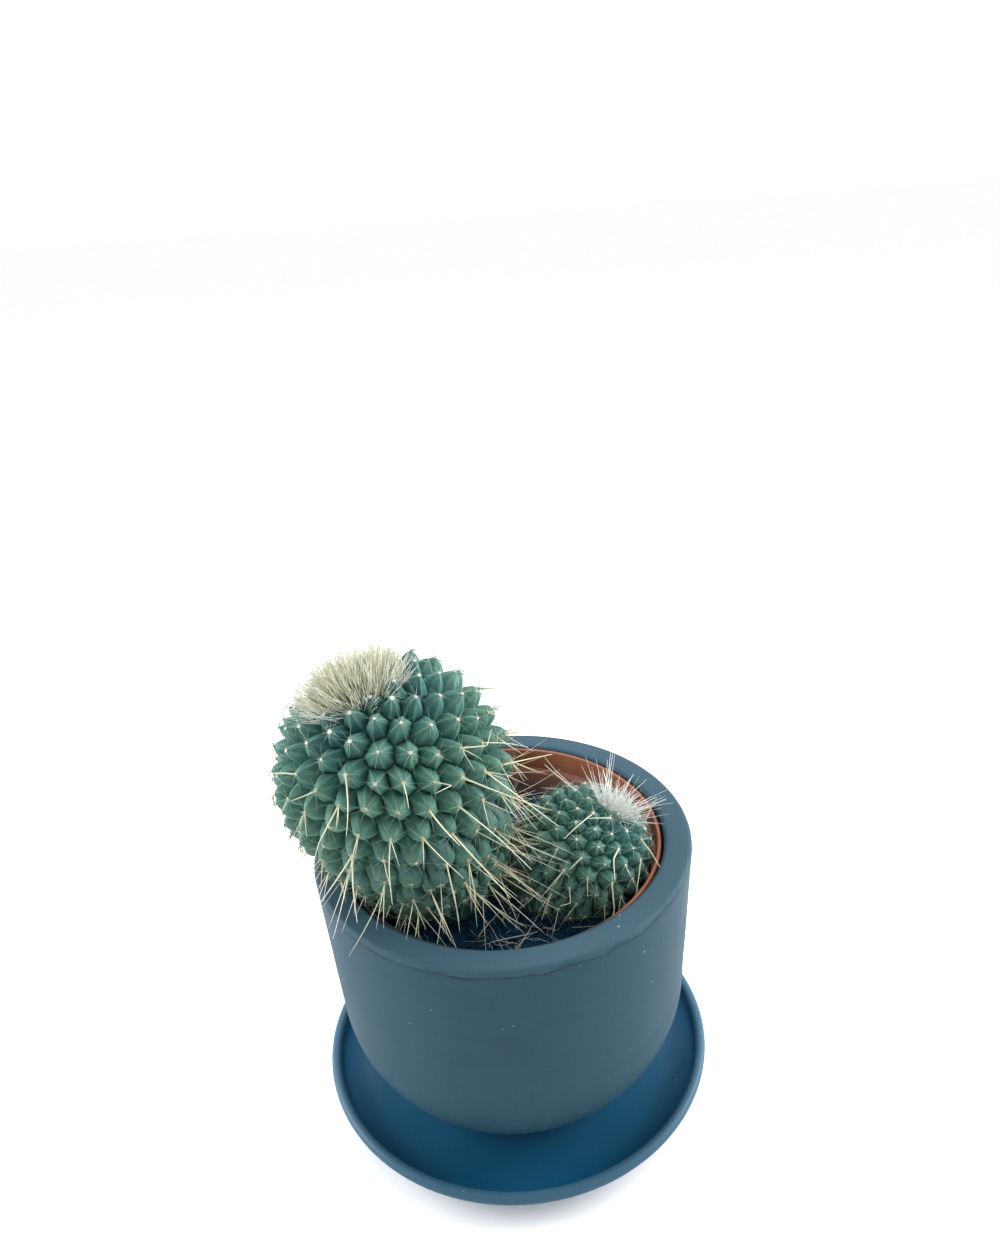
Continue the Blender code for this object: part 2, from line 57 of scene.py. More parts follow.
# The pots, as the frame has them. Depths are measured down from a rim.
SAUCER_FLOOR = 4.6 * MM
SAUCER_LIP = 3.6 * MM
SAUCER_FLARE = 10.0 * MM
SAUCER_CHAMFER = 0.9 * MM
COVER_RIM_WIDTH = 8.8 * MM
COVER_SHOULDER_HEIGHT = 42.0 * MM
COVER_SHOULDER_TAPER = 2.4 * MM
COVER_FOOT_RADIUS = 35.5 * MM
COVER_FOOT_CHAMFER = 1.5 * MM
COVER_FLOOR = 10.0 * MM
COVER_CAVITY_RADIUS = 42.0 * MM
COVER_CAVITY_ROUNDING = 3.0 * MM
COVER_THROAT = 15.3 * MM
COVER_DRAIN_RADIUS = 6.0 * MM
RIM_ROUNDING = 1.6 * MM
BOWL_POWER = 2.2
GROW_TILT = math.radians(1.2)
GROW_DROP = 1.3 * MM
GROW_WALL = 1.3 * MM
GROW_COLLAR_RADIUS = 51.4 * MM
GROW_COLLAR_HEIGHT = 9.0 * MM
GROW_COLLAR_STEP = 1.9 * MM
GROW_BASE_RADIUS = 36.0 * MM
GROW_FLOOR = 1.6 * MM
GROW_DRAIN_RADIUS = 3.5 * MM
GROW_DRAIN_RING = 22.0 * MM
GROW_DRAINS = 6

# The soil, as the frame has it: each wave has a share, two frequencies and a phase.
SOIL_DROP = 16.0 * MM
SOIL_GAP = 0.3 * MM
SOIL_BUMP = 1.0 * MM
SOIL_WAVES = (
    (1.0, 210.0, 170.0, 0.6),
    (0.6, 420.0, -330.0, 0.0),
    (0.4, 90.0, 560.0, 1.6),
)
CRUMBS = 1500

# The stems, in the grow pot's frame. Young cells and areoles are those near the crown.
MAIN_RADIUS = 30.2 * MM
MAIN_TUBERCLE = 6.6 * MM
MAIN_INSIDE_RIM = 24.4 * MM
MAIN_SIDE = math.radians(-165.6)
RIM_CLEARANCE = 3.7 * MM
OFFSET_RADIUS = 19.8 * MM
OFFSET_TUBERCLE = 3.6 * MM
OFFSET_WALL_GAP = 1.5 * MM
OFFSET_CENTRE_DROP = 6.8 * MM
OFFSET_SIDE = math.radians(-13.8)
BURIED = 6.0 * MM
ROOT_CAP = 4.0 * MM
SOIL_MARGIN = 0.5
YOUNG_CELL = 0.86
YOUNG_AGE = 0.2
GROWN_FROM = 0.22
GROWN_OVER = 0.4
BARE_CROWN = 0.86
TUBERCLE_TOP = 0.97
UNDERSIDE_SHRINK = 0.5
SHOWN_RISE = 0.35

# The spines. Heights are over the soil.
OLDEST_AGE = 0.85
LOWEST_CENTRAL = 7 * MM
LOWEST_CROSSING = 5 * MM
LYING_HEIGHT = 0.75 * MM
UNEVEN_WIDTH = 0.25
ROUTE_NEAR = 0.9 * MM
LEAST_BEND = 1.0 * MM
STRAIGHT_BOW = 0.035
BENT_BOW = 0.015
POT_INSIDE = 1.5 * MM
POT_OUTSIDE = 0.8 * MM
POT_ABOVE = 0.5 * MM
CUT_TRIES = 8
CUT_SHARE = 0.8

# Fineness
TURNED_STEPS = 192
BOWL_STEPS = 36
SAUCER_CURVE_STEPS = 12
EDGE_STEPS = 5
FLANK_STEPS = 11
LYING_STEPS = 7
LONG_SPINE_STEPS = 15

# The studio. The camera looks from the photo's angle, its turns in degrees.
CAMERA_PLACE = (0, -0.2564, 0.290)
CAMERA_TURNS = (65.6332, 3.7366, -2.6758)
CAMERA_LENS = 27.89
CAMERA_SENSOR = 36
LAMP_SIZE = 0.6
LAMP_TARGET = Vector((0, 0, 0.07))
WORLD_STRENGTH = 1.03
FLOOR_REACH = 12.0
FLOOR_GAP = 0.2 * MM

saucer_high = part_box("saucer")[1]
cover_low, cover_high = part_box("cover_pot")
saucer_radius = saucer_high.x
saucer_height = saucer_high.z
cover_radius = cover_high.x
cover_height = cover_high.z - cover_low.z
rim_z = cover_high.z
opening_radius = cover_radius - COVER_RIM_WIDTH
grow_height = (
    rim_z - GROW_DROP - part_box("nursery_pot")[0].z - GROW_BASE_RADIUS * math.sin(GROW_TILT)
) / math.cos(GROW_TILT)
grow_shoulder = GROW_COLLAR_RADIUS - GROW_COLLAR_STEP
pot_frame = Matrix.Translation((0, 0, rim_z - GROW_DROP)) @ Matrix.Rotation(GROW_TILT, 4, "X")


def polar(radius, turn):
    return radius * math.cos(turn), radius * math.sin(turn)


def clamped(share):
    return min(1.0, max(0.0, share))


def any_turn(rng):
    return rng.uniform(0, math.tau)


def any_vector(low, high, rng):
    return Vector([rng.uniform(low, high) for _ in range(3)])


def moved(lines, matrix):
    matrix = np.array(matrix)
    return lines @ matrix[:3, :3].T + matrix[:3, 3]


# Meshes -------------------------------------------------------------------------------


def shown(name, mesh):
    obj = bpy.data.objects.new(name, mesh)
    bpy.context.scene.collection.objects.link(obj)
    return obj


def piece(name, mesh, finish, replaced=()):
    """A shown object that rides on the root body and stands for the CAD nodes named."""
    mesh.name = name
    mesh.materials.append(finish)
    obj = shown(name, mesh)
    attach(obj, "root")
    if replaced:
        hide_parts(*replaced)


def smooth(mesh, degrees):
    mesh.shade_smooth()
    mesh.set_sharp_from_angle(angle=math.radians(degrees))


def mesh_of(points, faces, **attributes):
    """A mesh from points and faces, with a number on each point for each attribute."""
    mesh = bpy.data.meshes.new("mesh")
    mesh.from_pydata(np.asarray(points).tolist(), [], faces)
    for key, values in attributes.items():
        layer = mesh.attributes.new(key, "FLOAT", "POINT")
        layer.data.foreach_set("value", np.asarray(values, np.float32).ravel())
    mesh.update()
    return mesh


def from_bmesh(bm):
    mesh = bpy.data.meshes.new("mesh")
    bm.to_mesh(mesh)
    bm.free()
    return mesh


def arc(centre, radius, start, end, steps):
    """Points on a circle in the outline's plane, angles in degrees."""
    angles = [math.radians(start + (end - start) * i / steps) for i in range(steps + 1)]
    return [(centre[0] + radius * math.cos(a), centre[1] + radius * math.sin(a)) for a in angles]


def turned(outline, warp=None):
    """A solid turned round Z from (radius, height) points that end on the axis or close up.

    warp moves each point by a small amount, so that it isn't perfectly round.
    """
    bm = bmesh.new()
    verts = [bm.verts.new((radius, 0, height)) for radius, height in outline]
    edges = [bm.edges.new(pair) for pair in zip(verts, verts[1:] + verts[:1])]
    around = {"axis": (0, 0, 1), "cent": (0, 0, 0), "steps": TURNED_STEPS, "angle": math.tau}
    bmesh.ops.spin(bm, geom=verts + edges, **around)
    bmesh.ops.remove_doubles(bm, verts=bm.verts, dist=1e-6)
    bmesh.ops.recalc_face_normals(bm, faces=bm.faces)
    if warp:
        for vert in bm.verts:
            vert.co += warp(vert.co)
    mesh = from_bmesh(bm)
    smooth(mesh, 35)
    return mesh


def refined(outline, longest):
    """The outline with points added so that no step is longer than the length given."""
    points = []
    for (r0, z0), (r1, z1) in zip(outline, outline[1:] + outline[:1]):
        count = max(1, math.ceil(math.hypot(r1 - r0, z1 - z0) / longest))
        points += [(r0 + (r1 - r0) * i / count, z0 + (z1 - z0) * i / count) for i in range(count)]
    return points


def unit(vectors):
    return vectors / np.maximum(np.linalg.norm(vectors, axis=-1, keepdims=True), 1e-12)


def strands(lines, widths, sides=4):
    """Tapered tubes in one mesh: strands x points x 3, with a radius at each point.

    The attribute along runs from 0 at a strand's root to 1 at its tip, and shade is one
    random number for each strand.
    """
    lines = np.asarray(lines, float)
    widths = np.asarray(widths, float)
    count, steps, _ = lines.shape
    heading = unit(np.gradient(lines, axis=1))
    helper = np.where(np.abs(heading[:, :1, 2:]) < 0.9, [[[0.0, 0.0, 1.0]]], [[[1.0, 0.0, 0.0]]])
    side = unit(np.cross(heading, helper))
    other = np.cross(heading, side)
    turn = math.tau * np.arange(sides) / sides
    ring = side[:, :, None] * np.cos(turn)[:, None] + other[:, :, None] * np.sin(turn)[:, None]
    points = (lines[:, :, None] + ring * widths[:, :, None, None]).reshape(-1, 3)
    first = ((np.arange(count)[:, None] * steps + np.arange(steps - 1)) * sides)[..., None]
    corner = np.arange(sides)
    follow = (corner + 1) % sides
    loops = (first + follow, first + corner, first + corner + sides, first + follow + sides)
    quads = np.stack(loops, axis=-1).reshape(-1, 4)
    root = np.arange(count)[:, None] * steps * sides + corner
    tip = root[:, ::-1] + (steps - 1) * sides
    faces = quads.tolist() + root.tolist() + tip.tolist()
    along = np.broadcast_to(np.linspace(0, 1, steps)[None, :, None], (count, steps, sides))
    rng = np.random.default_rng(count)
    shade = np.broadcast_to(rng.random(count)[:, None, None], (count, steps, sides))
    mesh = mesh_of(points, faces, along=along, shade=shade)
    mesh.shade_smooth()
    return mesh


def bowed(parts, steps):
    """Lines from their roots, bent sideways by their sags: strands x points x 3."""
    roots, directions, lengths, sags = parts
    t = np.linspace(0, 1, steps)[None, :, None]
    reach = lengths[:, None, None]
    return roots[:, None] + directions[:, None] * reach * t + sags[:, None] * reach * t**2


def taper(radii, steps, tip=0.18):
    """A radius at each point of each strand: full near the root and fine at the tip."""
    t = np.linspace(0, 1, steps)[None]
    return radii[:, None] * (1 - (1 - tip) * t**1.4)


# Materials ----------------------------------------------------------------------------


class Finish:
    """A node material being put together, with short calls for the nodes that repeat."""

    def __init__(self, name, **sockets):
        self.material = bpy.data.materials.new(name)
        self.material.use_nodes = True
        tree = self.material.node_tree
        self.nodes = tree.nodes
        self.links = tree.links
        self.shader = tree.nodes["Principled BSDF"]
        for key, value in sockets.items():
            self.shader.inputs[key.replace("_", " ")].default_value = value
        self.place = self.nodes.new("ShaderNodeTexCoord").outputs["Object"]

    def feed(self, socket, value):
        """Links a socket or sets it to a number or colour."""
        if isinstance(value, bpy.types.NodeSocket):
            self.links.new(value, socket)
        elif isinstance(value, tuple) and len(value) == 3 and len(socket.default_value) == 4:
            socket.default_value = (*value, 1.0)
        else:
            socket.default_value = value

    def output(self, kind, name, **inputs):
        """One output of a new node whose inputs are fed."""
        node = self.nodes.new("ShaderNode" + kind)
        for key, value in inputs.items():
            self.feed(node.inputs[key.replace("_", " ")], value)
        return node.outputs[name]

    def axis(self, name):
        """One coordinate of the place on the surface, in metres."""
        return self.output("SeparateXYZ", name, Vector=self.place)

    def stretched(self, x, y, z):
        return self.output("Mapping", "Vector", Vector=self.place, Scale=(x, y, z))

    def noise(self, scale, detail=4.0, rough=0.55, place=None):
        numbers = {"Scale": scale, "Detail": detail, "Roughness": rough}
        return self.output("TexNoise", "Fac", Vector=place or self.place, **numbers)

    def spots(self, scale, size):
        """1 in small round spots, one in each cell of a grid of that scale, else 0."""
        distance = self.output("TexVoronoi", "Distance", Vector=self.place, Scale=scale)
        return self.ramp(distance, size * 0.6, size, 1.0, 0.0)

    def ramp(self, value, low, high, start=0.0, end=1.0):
        numbers = {"From_Min": low, "From_Max": high, "To_Min": start, "To_Max": end}
        return self.output("MapRange", "Result", Value=value, **numbers)

    def bump(self, height, distance, strength, over=None):
        below = {"Normal": over} if over else {}
        numbers = {"Distance": distance, "Strength": strength}
        return self.output("Bump", "Normal", Height=height, **numbers, **below)

    def attribute(self, name):
        node = self.nodes.new("ShaderNodeAttribute")
        node.attribute_name = name
        return node.outputs["Fac"]

    def math(self, operation, a, b):
        node = self.nodes.new("ShaderNodeMath")
        node.operation = operation
        self.feed(node.inputs[0], a)
        self.feed(node.inputs[1], b)
        return node.outputs["Value"]

    def mix(self, share, a, b):
        node = self.nodes.new("ShaderNodeMix")
        node.data_type = "RGBA"
        self.feed(node.inputs["Factor"], share)
        self.feed(node.inputs[6], a)
        self.feed(node.inputs[7], b)
        return node.outputs[2]

    def speckled(self, colour, scale, clusters, pale):
        """The colour with small pale specks, which come in clusters."""
        sparse = self.ramp(self.noise(clusters, 2.0), 0.6, 0.66)
        return self.mix(self.math("MULTIPLY", self.spots(scale, 0.09), sparse), colour, pale)

    def finish(self, colour, roughness, normal=None):
        self.feed(self.shader.inputs["Base Color"], colour)
        self.feed(self.shader.inputs["Roughness"], roughness)
        if normal:
            self.links.new(normal, self.shader.inputs["Normal"])
        return self.material


def cover_glaze():
    """Matte slate-blue glaze with turning marks, soft blotches, a paler rim where the glaze thins,
    a painted shade line under the rim's outer edge at the front, and white specks.
    """
    f = Finish("cover_glaze", Specular_IOR_Level=0.12)
    marks = f.noise(1.0, 5.0, 0.6, f.stretched(18, 18, 900))
    blotch = f.noise(34, 4.0, 0.6)
    grain = f.noise(2600, 3.0)
    colour = f.mix(f.ramp(blotch, 0.3, 0.7), (0.009, 0.041, 0.064), (0.017, 0.053, 0.079))
    colour = f.mix(f.ramp(marks, 0.35, 0.7, 0.0, 0.5), colour, (0.017, 0.050, 0.073))
    height = f.math("ADD", f.axis("Z"), f.ramp(f.noise(70, 3.0), 0.3, 0.7, -MM, MM))
    thin = f.ramp(height, rim_z - 2.5 * MM, rim_z - 0.5 * MM, 0.0, 0.75)
    colour = f.mix(thin, colour, (0.036, 0.076, 0.104))
    # painted shade: a dark line, broken up by noise, just under the rim's outer rounding and only
    # on the front
    above = f.ramp(height, rim_z - 2.6 * MM, rim_z - 2.2 * MM)
    below = f.ramp(height, rim_z - 2.0 * MM, rim_z - 1.6 * MM, 1.0, 0.0)
    front = f.ramp(f.axis("Y"), -0.6 * cover_radius, -0.2 * cover_radius, 1.0, 0.15)
    shade_breaks = f.ramp(f.noise(55, 6.0, 0.75), 0.36, 0.55)
    band = f.math("MULTIPLY", above, below)
    rim_edge_shade = f.math("MULTIPLY", f.math("MULTIPLY", band, shade_breaks), front)
    colour = f.mix(rim_edge_shade, colour, (0.004, 0.016, 0.028))
    colour = f.speckled(colour, 260, 120, (0.26, 0.32, 0.34))
    relief = f.math("ADD", f.math("MULTIPLY", marks, 0.7), f.math("MULTIPLY", grain, 0.3))
    normal = f.bump(relief, 0.12 * MM, 0.8)
    return f.finish(colour, f.ramp(blotch, 0.2, 0.8, 0.5, 0.66), normal)


def saucer_glaze():
    """Satin deep-blue glaze, paler behind the pot as painted light, and paler where it thins on the
    lip.
    """
    f = Finish("saucer_glaze_deep", Specular_IOR_Level=0.2)
    rings = f.noise(1.0, 4.0, 0.6, f.stretched(40, 40, 700))
    blotch = f.noise(26, 4.0, 0.55)
    lip = f.ramp(f.axis("Z"), saucer_height - 4.2 * MM, saucer_height - 0.6 * MM)
    colour = f.mix(f.ramp(blotch, 0.3, 0.7), (0.002, 0.048, 0.104), (0.004, 0.060, 0.126))
    # painted light: the glaze is made paler towards the back and sides, where the pot shades the
    # dish
    painted_light_behind = f.ramp(f.axis("Y"), -0.75 * saucer_radius, -0.1 * saucer_radius, 0.0, 0.85)
    colour = f.mix(painted_light_behind, colour, (0.024, 0.140, 0.270))
    colour = f.mix(f.ramp(rings, 0.4, 0.75, 0.0, 0.35), colour, (0.014, 0.070, 0.120))
    colour = f.mix(f.math("MULTIPLY", lip, 0.7), colour, (0.036, 0.088, 0.125))
    colour = f.speckled(colour, 240, 110, (0.20, 0.28, 0.32))
    normal = f.bump(f.math("ADD", rings, f.noise(1800, 2.0)), 0.05 * MM, 0.7)
    return f.finish(colour, f.ramp(blotch, 0.2, 0.8, 0.36, 0.5), normal)


def grow_plastic():
    """Orange-brown moulded plastic, dulled by water lines, with painted shade deep inside it and
    along its front.
    """
    f = Finish("grow_plastic", Specular_IOR_Level=0.2)
    dust = f.noise(90, 5.0, 0.65)
    lines = f.noise(1.0, 4.0, 0.6, f.stretched(25, 25, 1200))
    colour = f.mix(f.ramp(dust, 0.35, 0.7), (0.23, 0.076, 0.036), (0.28, 0.105, 0.056))
    # painted shade: darker further down inside the pot
    depth = f.ramp(f.axis("Z"), rim_z - 14 * MM, rim_z - 5 * MM, 0.85, 0.0)
    colour = f.mix(depth, colour, (0.084, 0.056, 0.060))
    colour = f.mix(f.ramp(lines, 0.5, 0.75, 0.0, 0.4), colour, (0.17, 0.080, 0.066))
    # painted shade: the front of the pot's collar darkened to a blue-black, mottled by noise
    ahead = f.math("ADD", f.axis("Y"), f.math("MULTIPLY", f.axis("X"), 0.4))
    front = f.ramp(ahead, -0.62 * opening_radius, -0.35 * opening_radius, 1.0, 0.0)
    front_shade = f.math("MULTIPLY", front, f.ramp(dust, 0.25, 0.5, 0.8, 1.0))
    colour = f.mix(front_shade, colour, (0.020, 0.032, 0.040))
    normal = f.bump(f.math("ADD", lines, f.noise(3000, 2.0)), 0.06 * MM, 0.8)
    return f.finish(colour, f.ramp(dust, 0.3, 0.7, 0.42, 0.62), normal)


def soil_finish(name, dark, pale):
    """Damp peat: nearly black with paler fibres."""
    f = Finish(name, Specular_IOR_Level=0.1)
    clump = f.noise(420, 6.0, 0.7)
    fibre = f.noise(1.0, 4.0, 0.65, f.stretched(2600, 700, 1500))
    colour = f.mix(f.ramp(clump, 0.35, 0.7), dark, pale)
    colour = f.mix(f.ramp(fibre, 0.62, 0.72, 0.0, 0.5), colour, (0.050, 0.085, 0.105))
    normal = f.bump(f.math("ADD", clump, f.noise(1500, 4.0)), 0.5 * MM, 0.9)
    return f.finish(colour, f.ramp(clump, 0.3, 0.7, 0.8, 0.97), normal)


def skin_finish():
    """Waxy skin: teal near the crown, greener below, darkest at the foot from its old tone and
    painted shade, with painted light in the valleys and painted highlights on the edges.
    """
    f = Finish(
        "cactus_skin",
        Specular_IOR_Level=0.2,
        Subsurface_Weight=0.55,
        Subsurface_Radius=(0.6, 1.0, 0.7),
        Subsurface_Scale=4.0 * MM,
    )
    rise, age, ridge, shade = [f.attribute(name) for name in ("rise", "age", "ridge", "shade")]
    mottle = f.noise(260, 5.0, 0.6)
    patch = f.noise(55, 3.0, 0.5)
    young = f.mix(f.ramp(mottle, 0.3, 0.7), (0.014, 0.084, 0.098), (0.026, 0.108, 0.114))
    old = f.mix(f.ramp(mottle, 0.3, 0.7), (0.044, 0.125, 0.092), (0.068, 0.168, 0.118))
    colour = f.mix(f.ramp(age, 0.18, 0.5), young, old)
    # darker on old cells towards the foot: partly the old skin's own dark teal, partly painted
    # shade
    colour = f.mix(f.ramp(age, 0.40, 0.60, 0.0, 0.85), colour, (0.012, 0.056, 0.056))
    colour = f.mix(f.ramp(patch, 0.45, 0.7, 0.0, 0.45), colour, (0.070, 0.168, 0.128))
    colour = f.mix(f.ramp(shade, 0.0, 1.0, 0.0, 0.3), colour, (0.030, 0.090, 0.072))
    # painted light: the valleys between tubercles are made paler
    colour = f.mix(f.ramp(rise, 0.0, 0.5, 0.4, 0.0), colour, (0.050, 0.160, 0.140))
    # painted highlight: pale colour along the tubercles' ridges and tips
    edge = f.math("MULTIPLY", ridge, f.ramp(mottle, 0.3, 0.6, 0.25, 0.6))
    colour = f.mix(edge, colour, (0.125, 0.255, 0.175))
    pores = f.spots(1900, 0.3)
    colour = f.mix(f.math("MULTIPLY", pores, 0.3), colour, (0.15, 0.26, 0.19))
    normal = f.bump(f.noise(1300, 4.0, 0.6), 0.14 * MM, 0.7)
    normal = f.bump(f.noise(330, 3.0, 0.5), 0.35 * MM, 0.6, normal)
    return f.finish(colour, f.ramp(mottle, 0.3, 0.75, 0.40, 0.58), normal)


def spine_finish(name, root, middle, tip):
    """A spine: its colour runs from root to tip, and differs a little from spine to spine."""
    f = Finish(name, Specular_IOR_Level=0.5)
    along, shade = f.attribute("along"), f.attribute("shade")
    colour = f.mix(f.ramp(along, 0.0, 0.3), root, middle)
    colour = f.mix(f.ramp(along, 0.55, 1.0), colour, tip)
    colour = f.mix(f.ramp(shade, 0.0, 1.0, 0.0, 0.45), colour, tuple(c * 0.55 for c in middle))
    streak = f.noise(2500, 3.0, 0.6)
    colour = f.mix(f.ramp(streak, 0.4, 0.7, 0.0, 0.25), colour, tuple(c * 0.6 for c in root))
    return f.finish(colour, f.ramp(streak, 0.3, 0.7, 0.32, 0.5))


def wool_finish(name, pale, dull):
    """Felted wool: white on young areoles, dull on old ones."""
    f = Finish(name, Specular_IOR_Level=0.15, Sheen_Weight=0.3)
    fuzz = f.noise(2200, 4.0, 0.7)
    colour = f.mix(f.ramp(f.attribute("age"), YOUNG_AGE, 2 * YOUNG_AGE), pale, dull)
    colour = f.mix(f.ramp(fuzz, 0.35, 0.7, 0.0, 0.4), colour, tuple(0.6 * c for c in dull))
    return f.finish(colour, f.ramp(fuzz, 0.3, 0.7, 0.85, 1.0), f.bump(fuzz, 0.3 * MM, 0.8))


# Pots ---------------------------------------------------------------------------------


def hand_made(amount):
    """A slow wobble, as on a piece that was turned by hand."""

    def warp(point):
        flat = Vector((point.x, point.y, 0))
        if flat.length < 1e-6:
            return Vector()
        wobble = noise.noise(Vector((point.x * 14, point.y * 14, point.z * 45)))
        fine = noise.noise(Vector((point.x * 60, point.y * 60, point.z * 420 + 9)))
        return flat.normalized() * amount * (wobble + 0.35 * fine)

    return warp


def build_saucer():
    base_radius = saucer_radius - SAUCER_FLARE
    lip = SAUCER_LIP / 2
    lip_centre = (saucer_radius - lip, saucer_height - lip)
    outline = [(0, 0), (base_radius - SAUCER_CHAMFER, 0), (base_radius, SAUCER_CHAMFER)]
    outline += arc(lip_centre, lip, -25, 155, 14)
    floor_edge = base_radius - SAUCER_LIP
    run = lip_centre[0] - lip - floor_edge
    rise = saucer_height - SAUCER_LIP - SAUCER_FLOOR
    for i in range(SAUCER_CURVE_STEPS + 1):
        angle = math.radians(84 - 7 * i)
        height = SAUCER_FLOOR + rise * (1 - math.cos(angle))
        outline.append((floor_edge + run * math.sin(angle), height))
    outline += [(0, SAUCER_FLOOR)]
    mesh = turned(refined(outline, 4 * MM))
    piece("saucer_dish", mesh, saucer_glaze(), ["saucer"])


def build_cover_pot():
    shoulder_radius = cover_radius - COVER_SHOULDER_TAPER
    outline = [(COVER_DRAIN_RADIUS, 0), (COVER_FOOT_RADIUS - COVER_FOOT_CHAMFER, 0)]
    for i in range(1, BOWL_STEPS + 1):
        pull = (shoulder_radius - COVER_FOOT_RADIUS) * (1 - i / BOWL_STEPS) ** BOWL_POWER
        outline.append((shoulder_radius - pull, COVER_SHOULDER_HEIGHT * i / BOWL_STEPS))
    top = cover_height - RIM_ROUNDING
    outline += arc((cover_radius - RIM_ROUNDING, top), RIM_ROUNDING, 0, 90, 7)
    outline += arc((opening_radius + RIM_ROUNDING, top), RIM_ROUNDING, 90, 180, 7)
    outline.append((opening_radius, cover_height - COVER_THROAT))
    rounding = COVER_CAVITY_ROUNDING
    outline += arc((COVER_CAVITY_RADIUS - rounding, COVER_FLOOR + rounding), rounding, 0, -90, 6)
    outline += [(COVER_DRAIN_RADIUS, COVER_FLOOR)]
    mesh = turned(refined(outline, 3 * MM), hand_made(0.12 * MM))
    mesh.transform(Matrix.Translation((0, 0, cover_low.z)))
    piece("cover_pot_shell", mesh, cover_glaze(), ["cover_pot"])


def drain_pins():
    """Pins through the grow pot's floor, one for each drain hole."""
    pins = bmesh.new()
    turns = [math.tau * i / GROW_DRAINS for i in range(GROW_DRAINS)]
    sizes = {"segments": 24, "radius1": GROW_DRAIN_RADIUS, "radius2": GROW_DRAIN_RADIUS}
    for x, y in [(0.0, 0.0)] + [polar(GROW_DRAIN_RING, turn) for turn in turns]:
        place = Matrix.Translation((x, y, -grow_height))
        bmesh.ops.create_cone(pins, cap_ends=True, depth=4 * GROW_FLOOR, matrix=place, **sizes)
    return from_bmesh(pins)


def build_grow_pot():
    lip = GROW_WALL / 2
    ledge = grow_shoulder - GROW_WALL
    outline = [(0, -grow_height), (GROW_BASE_RADIUS, -grow_height)]
    outline += [(grow_shoulder, -GROW_COLLAR_HEIGHT), (GROW_COLLAR_RADIUS, -GROW_COLLAR_HEIGHT)]
    outline += arc((GROW_COLLAR_RADIUS - lip, -lip), lip, 0, 180, 10)
    outline += [
        (GROW_COLLAR_RADIUS - GROW_WALL, GROW_WALL - GROW_COLLAR_HEIGHT),
        (ledge, -GROW_COLLAR_HEIGHT),
        (GROW_BASE_RADIUS - GROW_WALL, GROW_FLOOR - grow_height),
        (0, GROW_FLOOR - grow_height),
    ]
    blank = shown("grow_pot_blank", turned(refined(outline, 5 * MM)))
    cutter = shown("drain_pins", drain_pins())
    cut = blank.modifiers.new("drains", "BOOLEAN")
    cut.operation = "DIFFERENCE"
    cut.object = cutter
    evaluated = blank.evaluated_get(bpy.context.evaluated_depsgraph_get())
    drained = bpy.data.meshes.new_from_object(evaluated)
    for obj in (blank, cutter):
        bpy.data.objects.remove(obj)
    drained.transform(pot_frame)
    piece("grow_pot", drained, grow_plastic(), ["nursery_pot"])


# Stems --------------------------------------------------------------------------------


